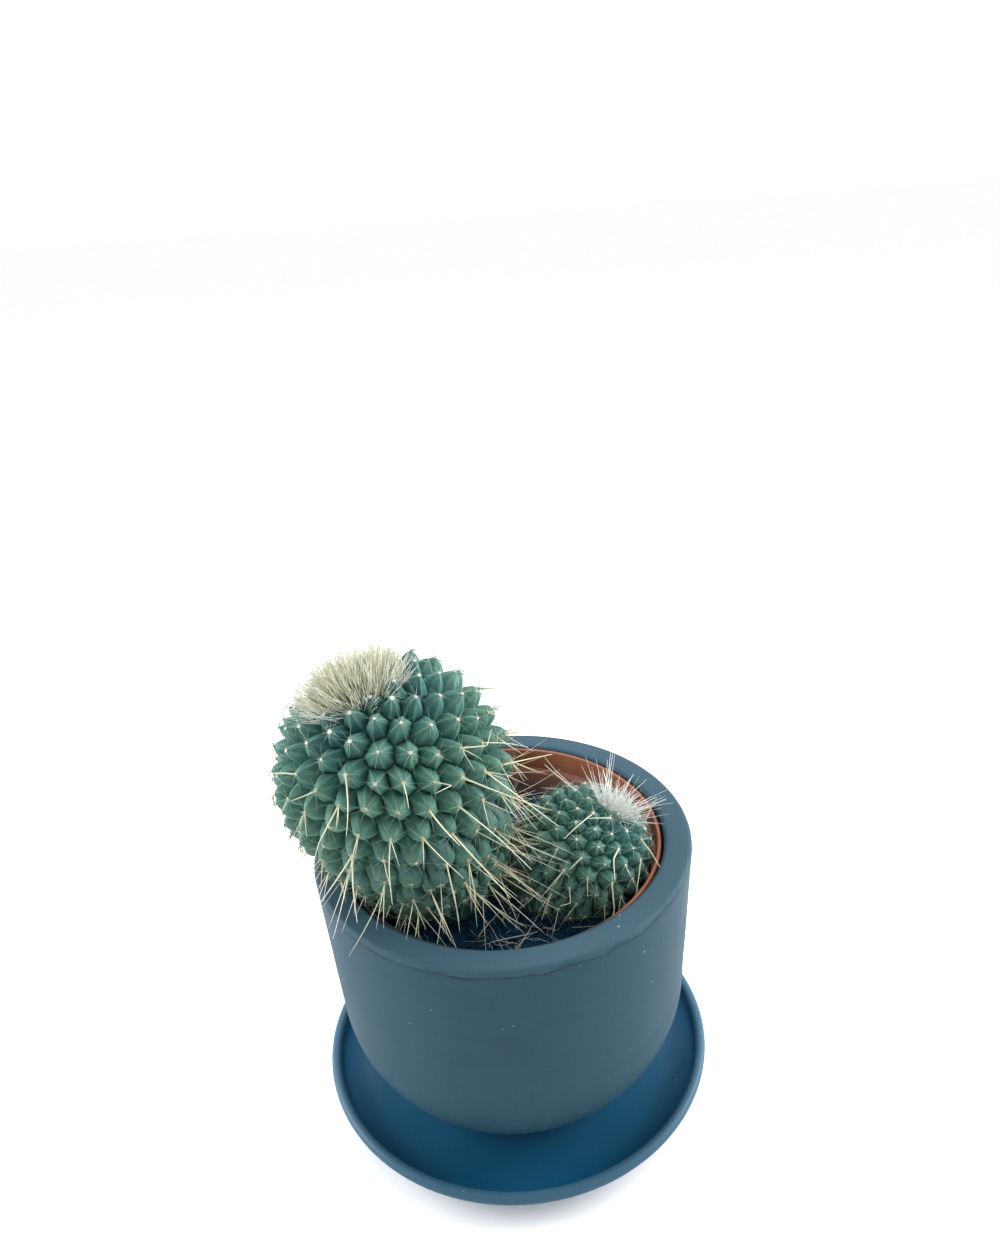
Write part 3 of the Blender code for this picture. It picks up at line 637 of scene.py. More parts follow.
class Stem:
    """A convex stem turned round its axis, with tubercles in a golden-angle spiral.

    Heights are along the axis from the widest place: up to the crown, down to the root.
    """

    def __init__(self, radius, crown, neck, axis, centre, tubercle, cell, tuft_radius, start):
        self.radius = radius
        self.crown = crown
        self.neck = neck
        self.tubercle = tubercle
        self.tuft_radius = tuft_radius
        axis = Vector(axis).normalized()
        self.frame = axis.to_track_quat("Z", "Y").to_matrix().to_4x4()
        self.frame.translation = Vector(centre)
        self.world = pot_frame @ self.frame
        self.lower = (centre[2] + SOIL_DROP + BURIED) / axis.z
        away = math.atan2(neck, -self.lower)
        self.leave = away - math.acos(radius / math.hypot(neck, self.lower))
        self.make_cells(self.spread(cell, start))

    def radius_at(self, height):
        if height >= 0:
            return self.radius * math.sqrt(max(0.0, 1 - (height / self.crown) ** 2))
        leave_height = self.radius * math.cos(self.leave)
        if height >= leave_height:
            return math.sqrt(self.radius**2 - height**2)
        if height >= -self.lower:
            share = (height - leave_height) / (-self.lower - leave_height)
            leave_radius = self.radius * math.sin(self.leave)
            return leave_radius + (self.neck - leave_radius) * share
        beyond = (-self.lower - height) / ROOT_CAP
        return self.neck * math.sqrt(max(0.0, 1 - beyond))

    def above_soil(self, point):
        return (self.frame @ point).z + SOIL_DROP

    def turned_in(self, direction):
        """A world direction in the stem's own frame."""
        return self.world.to_3x3().inverted() @ Vector(direction).normalized()

    def spread(self, cell, start):
        """Seeds from the crown down, one golden angle apart, closer together near the crown."""
        turns = np.linspace(0, math.pi / 2, 90)
        heights = list(self.crown * np.cos(turns))
        heights += list(np.linspace(0, -self.lower, 120)[1:])
        heights += list(-self.lower - ROOT_CAP * np.sin(np.linspace(0, math.pi / 2, 30)[1:]))
        radii = [self.radius_at(h) for h in heights]
        area = [0.0]
        for (r0, h0), (r1, h1) in zip(zip(radii, heights), zip(radii[1:], heights[1:])):
            grown = YOUNG_CELL + (1 - YOUNG_CELL) * min(1.0, (1 - h0 / self.crown) / 0.55)
            band = math.pi * (r0 + r1) * math.hypot(r1 - r0, h1 - h0)
            area.append(area[-1] + band / grown**2)
        count = int(area[-1] / (HEXAGON_SHARE * cell**2))
        seeds = []
        for i in range(count):
            height = float(np.interp((i + 0.5) / count * area[-1], area, heights))
            place = polar(self.radius_at(height), start - i * GOLDEN_ANGLE)
            seeds.append(Vector((*place, height)))
        return seeds

    def rise_at(self, seed, outward):
        """How far the tubercle on a seed stands up: less by the crown, the soil and below."""
        young = 1.0
        if seed.z > 0:
            beyond_tuft = math.hypot(seed.x, seed.y) / self.tuft_radius - BARE_CROWN
            if beyond_tuft < 0:
                return 0.0
            young = min(1.0, 0.5 + 1.3 * beyond_tuft)
        clear = clamped(self.above_soil(seed) / self.tubercle - SOIL_MARGIN)
        facing_down = max(0.0, -(self.frame.to_3x3() @ outward).z)
        return self.tubercle * young * clear * (1 - UNDERSIDE_SHRINK * facing_down)

    def outward_at(self, place):
        """The stem's outward direction at a place, in the stem's own frame."""
        step = 0.2 * MM
        slope = (self.radius_at(place.z + step) - self.radius_at(place.z - step)) / (2 * step)
        flat = Vector((place.x, place.y, 0)).normalized()
        return (flat - Vector((0, 0, slope))).normalized()

    def make_cells(self, seeds):
        """A cell round every seed. The shown ones have a tubercle clear of the soil."""
        hull = bmesh.new()
        for seed in seeds:
            hull.verts.new(seed)
        bmesh.ops.convex_hull(hull, input=hull.verts)
        bmesh.ops.triangulate(hull, faces=hull.faces)
        hull.faces.index_update()
        hull.faces.ensure_lookup_table()
        self.corners = [face.calc_center_median() for face in hull.faces]
        self.cells = [Cell(self, vert) for vert in hull.verts if vert.link_faces]
        self.shown = [cell for cell in self.cells if cell.rise > SHOWN_RISE * self.tubercle]
        hull.free()


class Cell:
    """One tubercle's place: the corners of its base, its middle, and how far it stands up."""

    def __init__(self, stem, vert):
        seed = vert.co.copy()
        self.outward = stem.outward_at(seed)
        side = self.outward.orthogonal().normalized()
        across = self.outward.cross(side)

        def turn_of(index):
            arm = stem.corners[index] - seed
            return math.atan2(arm.dot(across), arm.dot(side))

        self.ring = sorted((face.index for face in vert.link_faces), key=turn_of)
        self.middle = sum((stem.corners[i] for i in self.ring), Vector()) / len(self.ring)
        self.rise = stem.rise_at(seed, self.outward)
        self.tip = self.middle + self.outward * self.rise
        self.age = math.atan2(math.hypot(seed.x, seed.y), seed.z) / math.pi
        self.down = (Vector((0, 0, -1)) + self.outward * self.outward.z).normalized()
        self.side = self.outward.cross(self.down)

    def flat_at(self, turn):
        """A direction across the tubercle's tip."""
        return self.side * math.cos(turn) + self.down * math.sin(turn)


def stem_skin(stem, rng):
    """The stem's skin in the world: every cell a blunt tubercle whose flanks meet at edges."""
    points, faces = [], []
    rise, age, ridge, shade = [], [], [], []

    def add(point, *values):
        lift = 0.22 * MM * noise.noise(point * 170) + 0.1 * MM * noise.noise(point * 520)
        points.append(point + stem.outward_at(point) * lift)
        for numbers, value in zip((rise, age, ridge, shade), values):
            numbers.append(value)
        return len(points) - 1

    edge_points = {}

    def edge_point(a, b, step):
        """A point on the edge between two corners, shared by the cells on both sides."""
        if a > b:
            a, b, step = b, a, EDGE_STEPS - step
        if step == 0:
            b = a
        elif step == EDGE_STEPS:
            a, step = b, 0
        key = (a, b, step)
        if key not in edge_points:
            place = stem.corners[a].lerp(stem.corners[b], step / EDGE_STEPS)
            edge_points[key] = add(place, 0.0, 0.5, 0.0, 0.5)
        return edge_points[key]

    for cell in stem.cells:
        tone = rng.random()
        loop, base, corner_share = [], [], []
        for a, b in zip(cell.ring, cell.ring[1:] + cell.ring[:1]):
            for step in range(EDGE_STEPS):
                loop.append(edge_point(a, b, step))
                base.append(stem.corners[a].lerp(stem.corners[b], step / EDGE_STEPS))
                corner_share.append(abs(2 * step / EDGE_STEPS - 1) ** 3)
        if cell.rise == 0.0:
            faces.append(loop)
            continue
        arms = [place - cell.middle for place in base]
        mean = sum(arm.length for arm in arms) / len(arms)
        grown = clamped((cell.age - GROWN_FROM) / GROWN_OVER)
        fullness = rng.uniform(1.45, 1.85) + 0.9 * grown
        roundness = 0.1 + 0.8 * grown
        before = loop
        for k in range(1, FLANK_STEPS):
            width = math.cos(math.pi / 2 * k / FLANK_STEPS)
            height = (1 - width**fullness) ** 0.7
            rounding = height * roundness
            ring = []
            for arm, corner in zip(arms, corner_share):
                round_arm = arm.normalized() * mean
                reach = arm.lerp(round_arm, rounding) * width
                place = cell.middle + reach + cell.outward * cell.rise * height * TUBERCLE_TOP
                keel = corner * 4 * width * (1 - width) * (1 - 0.6 * rounding)
                ring.append(add(place, height, cell.age, max(keel, 0.8 * height**8), tone))
            for i in range(len(loop)):
                follow = (i + 1) % len(loop)
                faces.append((before[i], before[follow], ring[follow], ring[i]))
            before = ring
        summit = cell.middle + cell.outward * cell.rise * TUBERCLE_TOP
        top = add(summit, 1.0, cell.age, 1.0, tone)
        faces += [(a, b, top) for a, b in zip(before, before[1:] + before[:1])]
    mesh = mesh_of(points, faces, rise=rise, age=age, ridge=ridge, shade=shade)
    mesh.transform(stem.world)
    smooth(mesh, 62)
    return mesh


def areole_felt(stem, size, rng):
    """A small felted cushion on every tubercle's tip."""
    points, faces, age = [], [], []
    segments, rings = 10, 3
    for cell in stem.shown:
        wide = size * rng.uniform(0.8, 1.2) * (1.1 if cell.age < YOUNG_AGE else 0.9)
        start = len(points)
        age += [cell.age] * (segments * rings)
        for ring in range(rings):
            turn = math.pi / 2 * (ring - 0.4) / (rings - 0.4)
            lift = wide * 0.6 * math.sin(turn)
            for i in range(segments):
                reach = wide * math.cos(turn) * rng.uniform(0.85, 1.15)
                flat = cell.flat_at(math.tau * i / segments)
                points.append(cell.tip + flat * reach + cell.outward * lift)
        for low in range(start, start + (rings - 1) * segments, segments):
            for i in range(segments):
                follow = low + (i + 1) % segments
                faces.append((low + i, follow, follow + segments, low + i + segments))
        last = start + (rings - 1) * segments
        faces.append([last + i for i in range(segments)])
        faces.append([start + segments - 1 - i for i in range(segments)])
    mesh = mesh_of(points, faces, age=age)
    mesh.transform(stem.world)
    mesh.shade_smooth()
    return mesh


# Spines -------------------------------------------------------------------------------


class Spray:
    """Strands being collected: each has a root, a direction, a length and a sideways sag."""

    def __init__(self):
        self.rows = []

    def add(self, root, direction, length, sag):
        self.rows.append((root, direction.normalized(), length, sag))

    def parts(self):
        return tuple(np.array(column) for column in zip(*self.rows))


def areole_hairs(stem, size, count, rng):
    """Short curled hairs of wool round every areole."""
    hairs = Spray()
    for cell in stem.shown:
        for _ in range(count):
            flat = cell.flat_at(any_turn(rng))
            hairs.add(
                cell.tip + flat * size * rng.uniform(0.1, 0.8),
                flat * rng.uniform(0.4, 1.2) + cell.outward,
                size * rng.uniform(0.8, 1.9) * (2.2 if cell.age < YOUNG_AGE else 1.0),
                flat * rng.uniform(-0.8, 0.8) - cell.outward * rng.uniform(0.2, 0.9),
            )
    return hairs.parts()


def radial_spines(stem, short, long, rng):
    """Thin spines spread round every areole, lying out over the tubercles."""
    spines = Spray()
    for cell in stem.shown:
        count = rng.randint(5, 8)
        start = any_turn(rng)
        grown = min(1.0, cell.age * 2.2)
        for i in range(count):
            flat = cell.flat_at(start + math.tau * (i + rng.uniform(-0.25, 0.25)) / count)
            spines.add(
                cell.tip + flat * 0.5 * MM,
                flat + cell.outward * rng.uniform(0.18, 0.6),
                rng.uniform(short, short + (long - short) * grown),
                -cell.outward * rng.uniform(0.0, 0.12) + cell.down * rng.uniform(0, 0.06),
            )
    return spines.parts()


def central_spines(stem, youngest, low, high, rng):
    """Longer spines from the older areoles, leaning away from the crown and a little down."""
    spines = Spray()
    world_down = stem.turned_in((0, 0, -1))
    for cell in stem.shown:
        grown = (cell.age - youngest) / (OLDEST_AGE - youngest)
        too_low = stem.above_soil(cell.tip) < LOWEST_CENTRAL
        if grown < 0 or too_low or rng.random() > 0.3 + 0.45 * grown:
            continue
        for _ in range(rng.choice((1, 1, 2))):
            lean = cell.down * rng.uniform(0.2, 1.1) + cell.side * rng.uniform(-0.7, 0.7)
            hang = world_down * rng.uniform(0.0, 0.7)
            spines.add(
                cell.tip,
                cell.outward * rng.uniform(0.6, 1.0) + lean + hang,
                low + (high - low) * min(1.0, grown) * rng.uniform(0.3, 1.0),
                cell.down * rng.uniform(-0.05, 0.08) + cell.side * rng.uniform(-0.06, 0.06),
            )
    return clear_of_pot(stem, spines.parts())


def crossing_spines(stem, facing, low, high, rng, scatter=0.75, least=0.62):
    """Spines from the areoles that face a world direction, crossing by as much as scatter."""
    spines = Spray()
    towards = stem.turned_in(facing)
    for cell in stem.shown:
        too_low = stem.above_soil(cell.tip) < LOWEST_CROSSING
        if too_low or cell.outward.dot(towards) < least:
            continue
        direction = cell.outward + towards * 0.5 + any_vector(-scatter, scatter, rng)
        spines.add(cell.tip, direction, rng.uniform(low, high), any_vector(-0.08, 0.08, rng))
    return clear_of_pot(stem, spines.parts())


def clear_of_pot(stem, parts):
    """The strands, each cut short where it would run into the cover pot's rim or wall."""
    roots, directions, lengths, sags = parts
    for _ in range(CUT_TRIES):
        lines = moved(bowed(parts, 10), stem.world)
        radius = np.hypot(lines[..., 0], lines[..., 1])
        in_ring = (radius > opening_radius - POT_INSIDE) & (radius < cover_radius + POT_OUTSIDE)
        hit = (in_ring & (lines[..., 2] < rim_z + POT_ABOVE)).any(axis=1)
        lengths[hit] *= CUT_SHARE
    return roots[~hit], directions[~hit], lengths[~hit], sags[~hit]


def crown_brush(stem, count, low, high, flare, rng):
    """Upright young spines over the bare crown, splayed towards its edge."""
    spines = Spray()
    for i in range(count):
        share = math.sqrt((i + 0.5) / count)
        radius = stem.tuft_radius * share * 1.02
        flat = Vector((*polar(1, i * GOLDEN_ANGLE + rng.uniform(-0.2, 0.2)), 0))
        height = stem.crown * math.sqrt(1 - (radius / stem.radius) ** 2)
        lean = flare * share**1.5 + rng.uniform(-0.12, 0.12)
        sway = Vector((rng.uniform(-0.2, 0.2), rng.uniform(-0.2, 0.2), 0))
        longer = 1.0 if rng.random() < 0.78 else rng.uniform(1.1, 1.45)
        spines.add(
            flat * radius + Vector((0, 0, height - 0.3 * MM)),
            flat * lean + sway + Vector((0, 0, 1)),
            rng.uniform(low, high) * longer * (1 - 0.22 * share**2),
            flat * rng.uniform(-0.05, 0.1) + sway * 0.5,
        )
    return spines.parts()


def crown_fringe(stem, count, low, high, flare, rng):
    """White spines round the brush's edge, splayed outward and crossing."""
    spines = Spray()
    for _ in range(count):
        radius = stem.tuft_radius * rng.uniform(0.85, 1.15)
        flat = Vector((*polar(1, any_turn(rng)), 0))
        along = Vector((-flat.y, flat.x, 0))
        height = stem.crown * math.sqrt(1 - (radius / stem.radius) ** 2)
        lean = flat * flare * rng.uniform(0.15, 1.0) + along * rng.uniform(-0.6, 0.6)
        spines.add(
            flat * radius + Vector((0, 0, height - 0.2 * MM)),
            lean + Vector((0, 0, 1)),
            rng.uniform(low, high),
            flat * rng.uniform(-0.1, 0.15) + along * rng.uniform(-0.1, 0.1),
        )
    return spines.parts()


def strand_piece(
    name, stem, parts, radius, finish, replaced=(), steps=6, sides=4
):
    """A piece of bowed strands, whose radii differ a little."""
    count = len(parts[0])
    uneven = np.random.default_rng(count).uniform(1 - UNEVEN_WIDTH, 1 + UNEVEN_WIDTH, count)
    lines = moved(bowed(parts, steps), stem.world)
    mesh = strands(lines, taper(radius * uneven, steps), sides)
    piece(name, mesh, finish, replaced)


def route_of(node, stem):
    """The nearest areole, the bend if there is one, and the tip of a CAD spine, in the world."""
    points = np.array([v.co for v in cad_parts[node].data.vertices])
    gaps = np.linalg.norm(points[:, None] - points[None], axis=2)
    a, b = np.unravel_index(np.argmax(gaps), gaps.shape)
    centre = np.array(stem.world.translation)

    def middle_near(place):
        return points[np.linalg.norm(points - place, axis=1) < ROUTE_NEAR].mean(0)

    ends = sorted((points[a], points[b]), key=lambda p: np.linalg.norm(p - centre))
    root, tip = (middle_near(end) for end in ends)
    areoles = np.array([stem.world @ cell.tip for cell in stem.shown])
    areole = areoles[np.argmin(np.linalg.norm(areoles - root, axis=1))]
    chord = tip - root
    share = np.clip((points - root) @ chord / (chord @ chord), 0, 1)
    off = np.linalg.norm(points - root - share[:, None] * chord, axis=1)
    if off.max() < LEAST_BEND:
        return np.array([areole, tip])
    return np.array([areole, middle_near(points[off.argmax()]) + 0.5 * (areole - root), tip])


def long_spine_line(route, bow):
    """A line of evenly spaced points along a route, bowed a little, its bend kept crisp."""
    spans = np.linalg.norm(np.diff(route, axis=0), axis=1)
    marks = np.concatenate([[0], np.cumsum(spans)])
    at = np.linspace(0, marks[-1], LONG_SPINE_STEPS)
    line = np.stack([np.interp(at, marks, route[:, k]) for k in range(3)], axis=1)
    return line + np.outer(np.sin(np.linspace(0, math.pi, LONG_SPINE_STEPS)), bow)


def spine_set(name, stem, prefix, width, finish, rng):
    """A fine bowed spine on the route of each long CAD spine of a stem, all in one piece."""
    nodes = sorted(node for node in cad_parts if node.startswith(prefix))
    along = np.linspace(0, 1, LONG_SPINE_STEPS)
    profile = 1 - 0.7 * along**1.3 + 0.35 * np.exp(-along * 16)
    lines, widths = [], []
    for node in nodes:
        route = route_of(node, stem)
        share = STRAIGHT_BOW if len(route) == 2 else BENT_BOW
        reach = np.linalg.norm(route[-1] - route[0]) * share
        bow = np.array([rng.uniform(-1, 1), rng.uniform(-1, 1), rng.uniform(-0.4, 1)])
        lines.append(long_spine_line(route, bow * reach))
        widths.append(width * rng.uniform(0.75, 1.2) * profile)
    piece(name, strands(lines, widths, 7), finish, nodes)


# Soil ---------------------------------------------------------------------------------


def soil_height(x, y):
    """The soil's surface in the grow pot's frame, as the frame has it."""
    waves = sum(share * math.sin(fx * x + fy * y + phase) for share, fx, fy, phase in SOIL_WAVES)
    return -SOIL_DROP + SOIL_BUMP * waves / 2


def crumbly(x, y):
    """The soil's surface with its crumbs."""
    place = Vector((x, y, 0))
    coarse = noise.noise(place * 260)
    fine = noise.noise(place * 900 + Vector((5, 0, 0)))
    cut = abs(noise.noise(place * 520 + Vector((0, 7, 0))))
    return soil_height(x, y) + (0.55 * coarse + 0.35 * fine - 0.9 * cut + 0.25) * MM


def grow_inside(depth):
    """The grow pot's inner radius at a depth below its collar's ledge."""
    share = (depth - GROW_COLLAR_HEIGHT) / (grow_height - GROW_COLLAR_HEIGHT)
    return grow_shoulder + (GROW_BASE_RADIUS - grow_shoulder) * share - GROW_WALL


def build_soil():
    rings, segments = 90, 300
    edge = grow_inside(SOIL_DROP) - SOIL_GAP
    bottom_edge = grow_inside(grow_height - GROW_FLOOR) - SOIL_GAP
    turns = [math.tau * i / segments for i in range(segments)]
    points = [(0.0, 0.0, crumbly(0, 0))]
    for ring in range(1, rings + 1):
        for turn in turns:
            x, y = polar(edge * ring / rings, turn)
            points.append((x, y, crumbly(x, y)))
    points += [(*polar(bottom_edge, turn), GROW_FLOOR + SOIL_GAP - grow_height) for turn in turns]
    faces = [(0, 1 + i, 1 + (i + 1) % segments) for i in range(segments)]
    for ring in range(rings):
        for i in range(segments):
            a, b = 1 + ring * segments + i, 1 + ring * segments + (i + 1) % segments
            faces.append((a, a + segments, b + segments, b))
    faces.append([1 + rings * segments + segments - 1 - i for i in range(segments)])
    mesh = mesh_of(points, faces)
    mesh.transform(pot_frame)
    smooth(mesh, 50)
    finish = soil_finish("soil_peat", (0.001, 0.022, 0.050), (0.005, 0.044, 0.086))
    piece("soil_bed", mesh, finish, ["potting_soil"])


def inside_stem(stem, point, margin=1.0 * MM):
    """Whether a point in the grow pot's frame lies in a stem or within the margin of it."""
    local = stem.frame.inverted() @ point
    if not -stem.lower < local.z < stem.crown:
        return False
    return math.hypot(local.x, local.y) < stem.radius_at(local.z) + margin


def open_soil(stems, rng):
    """A random place on the soil that no stem stands on."""
    edge = grow_inside(SOIL_DROP) - 1.5 * MM
    while True:
        point = Vector((*polar(edge * math.sqrt(rng.random()), any_turn(rng)), 0))
        point.z = crumbly(point.x, point.y)
        if not any(inside_stem(stem, point) for stem in stems):
            return point


def build_crumbs(stems, rng):
    """Loose crumbs of peat and bark, each an uneven lump sunk a little in the soil."""
    lump = bmesh.new()
    bmesh.ops.create_icosphere(lump, subdivisions=1, radius=1)
    shape = [vert.co.copy() for vert in lump.verts]
    triangles = [[vert.index for vert in face.verts] for face in lump.faces]
    lump.free()
    points, faces = [], []
    for _ in range(CRUMBS):
        place = open_soil(stems, rng)
        size = 0.35 * MM + 1.0 * MM * rng.random() ** 3
        turn = Euler(any_vector(0, 6.28, rng)).to_matrix()
        stretch = any_vector(0.55, 1.3, rng)
        faces += [[len(points) + i for i in face] for face in triangles]
        for co in shape:
            rough = 1 + 0.35 * noise.noise(co * 1.7 + place * 900)
            points.append(place + turn @ (co * stretch) * size * rough + Vector((0, 0, 0.3 * size)))
    mesh = mesh_of(points, faces)
    mesh.transform(pot_frame)
    finish = soil_finish("soil_crumb", (0.002, 0.022, 0.048), (0.008, 0.046, 0.084))
    piece("soil_crumbs", mesh, finish)


def lying_strands(stems, count, low, high, curl, lift, rng):
    """Lines that lie on the soil in every direction: dropped spines or hairs."""
    edge = grow_inside(SOIL_DROP) - 0.8 * MM
    lines = []
    while len(lines) < count:
        point = open_soil(stems, rng)
        heading = any_turn(rng)
        length = rng.uniform(low, high)
        climb = rng.uniform(-0.05, lift)
        line = []
        for i in range(LYING_STEPS):
            rise = LYING_HEIGHT + climb * length * i / LYING_STEPS
            line.append((point.x, point.y, soil_height(point.x, point.y) + rise))
            point += Vector((*polar(1, heading), 0)) * length / (LYING_STEPS - 1)
            heading += curl * rng.uniform(-1, 1)
        if math.hypot(line[-1][0], line[-1][1]) < edge:
            lines.append(line)
    return moved(np.array(lines), pot_frame)


def build_litter(stems, rng):
    """Dropped spines, curly hairs and reddish scraps on the soil."""

    def lay(name, count, low, high, curl, lift, radius, spread, tip, sides, finish):
        lines = lying_strands(stems, count, low * MM, high * MM, curl, lift, rng)
        radii = radius * MM * spread * np.ones(count)
        piece(name, strands(lines, taper(radii, LYING_STEPS, tip), sides), finish)

    dry = spine_finish("spines_dry", (0.33, 0.25, 0.18), (0.46, 0.44, 0.37), (0.50, 0.49, 0.43))
    spread = np.random.default_rng(5).uniform(0.6, 1.3, 64)
    lay("dropped_spines", 64, 7, 24, 0.16, 0.12, 0.24, spread, 0.18, 5, dry)
    spread = np.random.default_rng(6).uniform(0.7, 1.2, 18)
    lay("fallen_spines", 18, 15, 28, 0.05, 0.4, 0.2, spread, 0.18, 5, dry)
    hairs = spine_finish("hairs_pale", (0.42, 0.40, 0.37), (0.52, 0.50, 0.46), (0.55, 0.53, 0.5))
    lay("soil_hairs", 80, 5, 14, 0.9, 0.2, 0.09, 1.0, 0.6, 3, hairs)
    red = spine_finish("scraps_red", (0.16, 0.05, 0.04), (0.22, 0.10, 0.07), (0.20, 0.11, 0.08))
    lay("soil_scraps", 12, 1.5, 4, 0.5, 0.2, 0.4, 1.0, 0.5, 5, red)


# Plants -------------------------------------------------------------------------------


def main_stem():
    away = cover_radius - COVER_RIM_WIDTH / 2 - MAIN_INSIDE_RIM
    reach = MAIN_RADIUS + MAIN_TUBERCLE + RIM_CLEARANCE
    height = math.sqrt(reach**2 - MAIN_INSIDE_RIM**2) + GROW_DROP
    return Stem(
        MAIN_RADIUS,
        crown=32 * MM,
        neck=9.5 * MM,
        axis=(-0.286, 0.03, 0.96),
        centre=(*polar(away, MAIN_SIDE), height),
        tubercle=MAIN_TUBERCLE,
        cell=7.4 * MM,
        tuft_radius=12.9 * MM,
        start=math.radians(160),
    )


def offset_stem():
    away = GROW_COLLAR_RADIUS - GROW_WALL - OFFSET_WALL_GAP - OFFSET_TUBERCLE - OFFSET_RADIUS
    return Stem(
        OFFSET_RADIUS,
        crown=21.5 * MM,
        neck=17 * MM,
        axis=(0.56, 0.08, 0.82),
        centre=(*polar(away, OFFSET_SIDE), -OFFSET_CENTRE_DROP),
        tubercle=OFFSET_TUBERCLE,
        cell=5.5 * MM,
        tuft_radius=5.6 * MM,
        start=0.0,
    )


def build_body(name, node, stem, finishes, felt, wool, radials, centrals, rng):
    """The skin, the areoles with their wool, and the radial and central spines.

    felt is the areoles' radius. The rest are a hair's size, count and radius, and the
    shortest, the longest and the radius of the spines, the centrals' youngest age first.
    """
    skin, wool_cushion, hair, fine, pale = finishes
    piece(name + "_skin", stem_skin(stem, rng), skin, [node])
    cushions = areole_felt(stem, felt * MM, rng)
    piece(name + "_areoles", cushions, wool_cushion)
    size, count, radius = wool
    parts = areole_hairs(stem, size * MM, count, rng)
    strand_piece(name + "_wool", stem, parts, radius * MM, hair, (), 4, 3)
    low, high, radius = radials
    parts = radial_spines(stem, low * MM, high * MM, rng)
    strand_piece(name + "_radials", stem, parts, radius * MM, fine)
    youngest, low, high, radius = centrals
    parts = central_spines(stem, youngest, low * MM, high * MM, rng)
    strand_piece(name + "_centrals", stem, parts, radius * MM, pale, sides=5)


def build_main(stem, skin, pale, rng):
    felt = wool_finish("wool_cream", (0.76, 0.80, 0.74), (0.46, 0.40, 0.25))
    hair = spine_finish("hair_cream", (0.42, 0.42, 0.34), (0.62, 0.64, 0.56), (0.66, 0.68, 0.62))
    fine = spine_finish("radials_dull", (0.22, 0.29, 0.18), (0.16, 0.26, 0.18), (0.19, 0.30, 0.22))
    finishes = skin, felt, hair, fine, pale
    wool, radials, centrals = (0.75, 14, 0.06), (3.5, 7, 0.075), (0.33, 6, 21, 0.15)
    build_body("main", "main_cactus", stem, finishes, 0.55, wool, radials, centrals, rng)
    tan = spine_finish("spines_tan", (0.40, 0.28, 0.14), (0.62, 0.54, 0.34), (0.68, 0.63, 0.46))
    parts = crossing_spines(stem, (1, 0.15, -0.25), 7 * MM, 18 * MM, rng)
    strand_piece("main_dry_spines", stem, parts, 0.13 * MM, tan, sides=5)
    parts = crossing_spines(stem, (0.75, -0.45, -0.5), 15 * MM, 25 * MM, rng, 0.22, 0.87)
    strand_piece("main_reaching", stem, parts, 0.16 * MM, pale)
    parts = crossing_spines(stem, (-0.45, -0.6, -0.66), 9 * MM, 20 * MM, rng, 0.22, 0.8)
    strand_piece("main_hanging", stem, parts, 0.16 * MM, pale)
    khaki = spine_finish("brush_khaki", (0.30, 0.30, 0.19), (0.64, 0.64, 0.47), (0.84, 0.86, 0.78))
    parts = crown_brush(stem, 760, 7 * MM, 14 * MM, 0.75, rng)
    brush_node = ["main_crown_spines"]
    strand_piece("main_brush", stem, parts, 0.17 * MM, khaki, brush_node)
    white = spine_finish("brush_white", (0.60, 0.62, 0.50), (0.84, 0.87, 0.80), (0.90, 0.93, 0.88))
    parts = crown_fringe(stem, 380, 5 * MM, 12 * MM, 1.6, rng)
    strand_piece("main_fringe", stem, parts, 0.12 * MM, white)
    spine_set("main_long_spines", stem, "main_spine_", 0.22 * MM, pale, rng)


def build_offset(stem, skin, pale, rng):
    felt = wool_finish("wool_white", (0.78, 0.82, 0.78), (0.56, 0.56, 0.44))
    hair = spine_finish("hair_white", (0.55, 0.56, 0.5), (0.72, 0.75, 0.70), (0.76, 0.79, 0.75))
    fine = spine_finish("radials_green", (0.28, 0.33, 0.22), (0.30, 0.38, 0.29), (0.34, 0.42, 0.33))
    finishes = skin, felt, hair, fine, pale
    wool, radials, centrals = (0.55, 12, 0.05), (2.5, 5.5, 0.065), (0.30, 5, 13, 0.12)
    build_body("offset", "offset_cactus", stem, finishes, 0.42, wool, radials, centrals, rng)
    white = spine_finish("tuft_white", (0.56, 0.58, 0.52), (0.76, 0.79, 0.75), (0.80, 0.83, 0.80))
    *straight, sags = crown_brush(stem, 620, 1.8 * MM, 5 * MM, 1.0, rng)
    parts = (*straight, sags + np.random.default_rng(3).uniform(-1.1, 1.1, sags.shape))
    tuft_node = ["offset_crown_spines"]
    strand_piece("offset_tuft", stem, parts, 0.1 * MM, white, tuft_node)
    parts = crown_fringe(stem, 64, 7 * MM, 17 * MM, 1.7, rng)
    strand_piece("offset_fringe", stem, parts, 0.14 * MM, white)
    spine_set("offset_long_spines", stem, "offset_spine_", 0.21 * MM, pale, rng)


# Stage --------------------------------------------------------------------------------


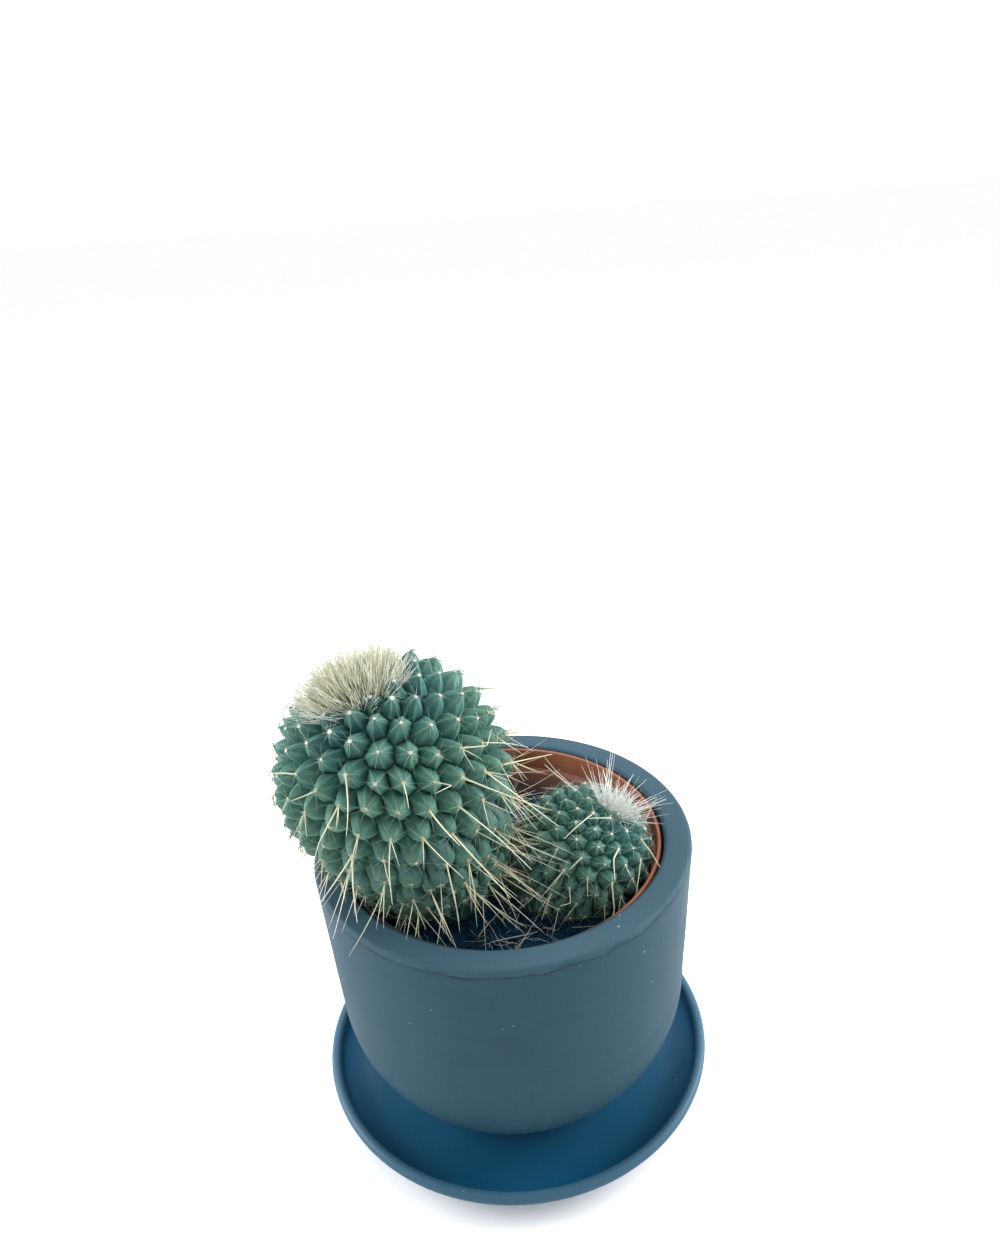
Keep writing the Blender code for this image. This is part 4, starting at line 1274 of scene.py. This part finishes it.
def lamp(name, location, power):
    """A square soft light pointed at the pot."""
    light = bpy.data.lights.new(name, "AREA")
    light.shape = "SQUARE"
    light.size = LAMP_SIZE
    light.energy = power
    obj = shown(name, light)
    obj.location = location
    obj.rotation_euler = (LAMP_TARGET - obj.location).to_track_quat("-Z", "Y").to_euler()


def floor():
    corners = [(-1, -1, 0), (1, -1, 0), (1, 1, 0), (-1, 1, 0)]
    mesh = mesh_of(FLOOR_REACH * np.array(corners, float), [(0, 1, 2, 3)])
    obj = shown("floor", mesh)
    obj.location.z = -FLOOR_GAP
    f = Finish("floor_paper", Specular_IOR_Level=0.1)
    fibre = f.noise(900, 3.0)
    colour = f.mix(f.ramp(fibre, 0.3, 0.7), (0.955, 0.955, 0.955), (0.975, 0.975, 0.975))
    mesh.materials.append(f.finish(colour, f.ramp(fibre, 0.3, 0.7, 0.85, 0.95)))


def studio():
    scene = bpy.context.scene
    scene.view_settings.view_transform = "Standard"
    scene.world = bpy.data.worlds.new("studio")
    scene.world.use_nodes = True
    background = scene.world.node_tree.nodes["Background"]
    background.inputs["Color"].default_value = (1, 1, 1, 1)
    background.inputs["Strength"].default_value = WORLD_STRENGTH
    lamp("light_left_back", (-0.85, 0.12, 0.40), 10.5)
    lamp("light_right_back", (0.85, 0.12, 0.40), 13.0)
    lamp("light_top", (0.0, 0.45, 0.90), 5.0)
    camera_data = bpy.data.cameras.new("camera")
    camera_data.sensor_width = CAMERA_SENSOR
    camera_data.lens = CAMERA_LENS
    camera_data.clip_start = 10 * MM
    scene.camera = shown("camera", camera_data)
    scene.camera.location = CAMERA_PLACE
    scene.camera.rotation_euler = [math.radians(turn) for turn in CAMERA_TURNS]


def main():
    rng = random.Random(11)
    studio()
    floor()
    build_saucer()
    build_cover_pot()
    build_grow_pot()
    stems = main_stem(), offset_stem()
    build_soil()
    build_crumbs(stems, rng)
    build_litter(stems, rng)
    skin = skin_finish()
    pale = spine_finish("spines_pale", (0.50, 0.46, 0.25), (0.68, 0.68, 0.50), (0.74, 0.76, 0.64))
    build_main(stems[0], skin, pale, rng)
    build_offset(stems[1], skin, pale, rng)


main()
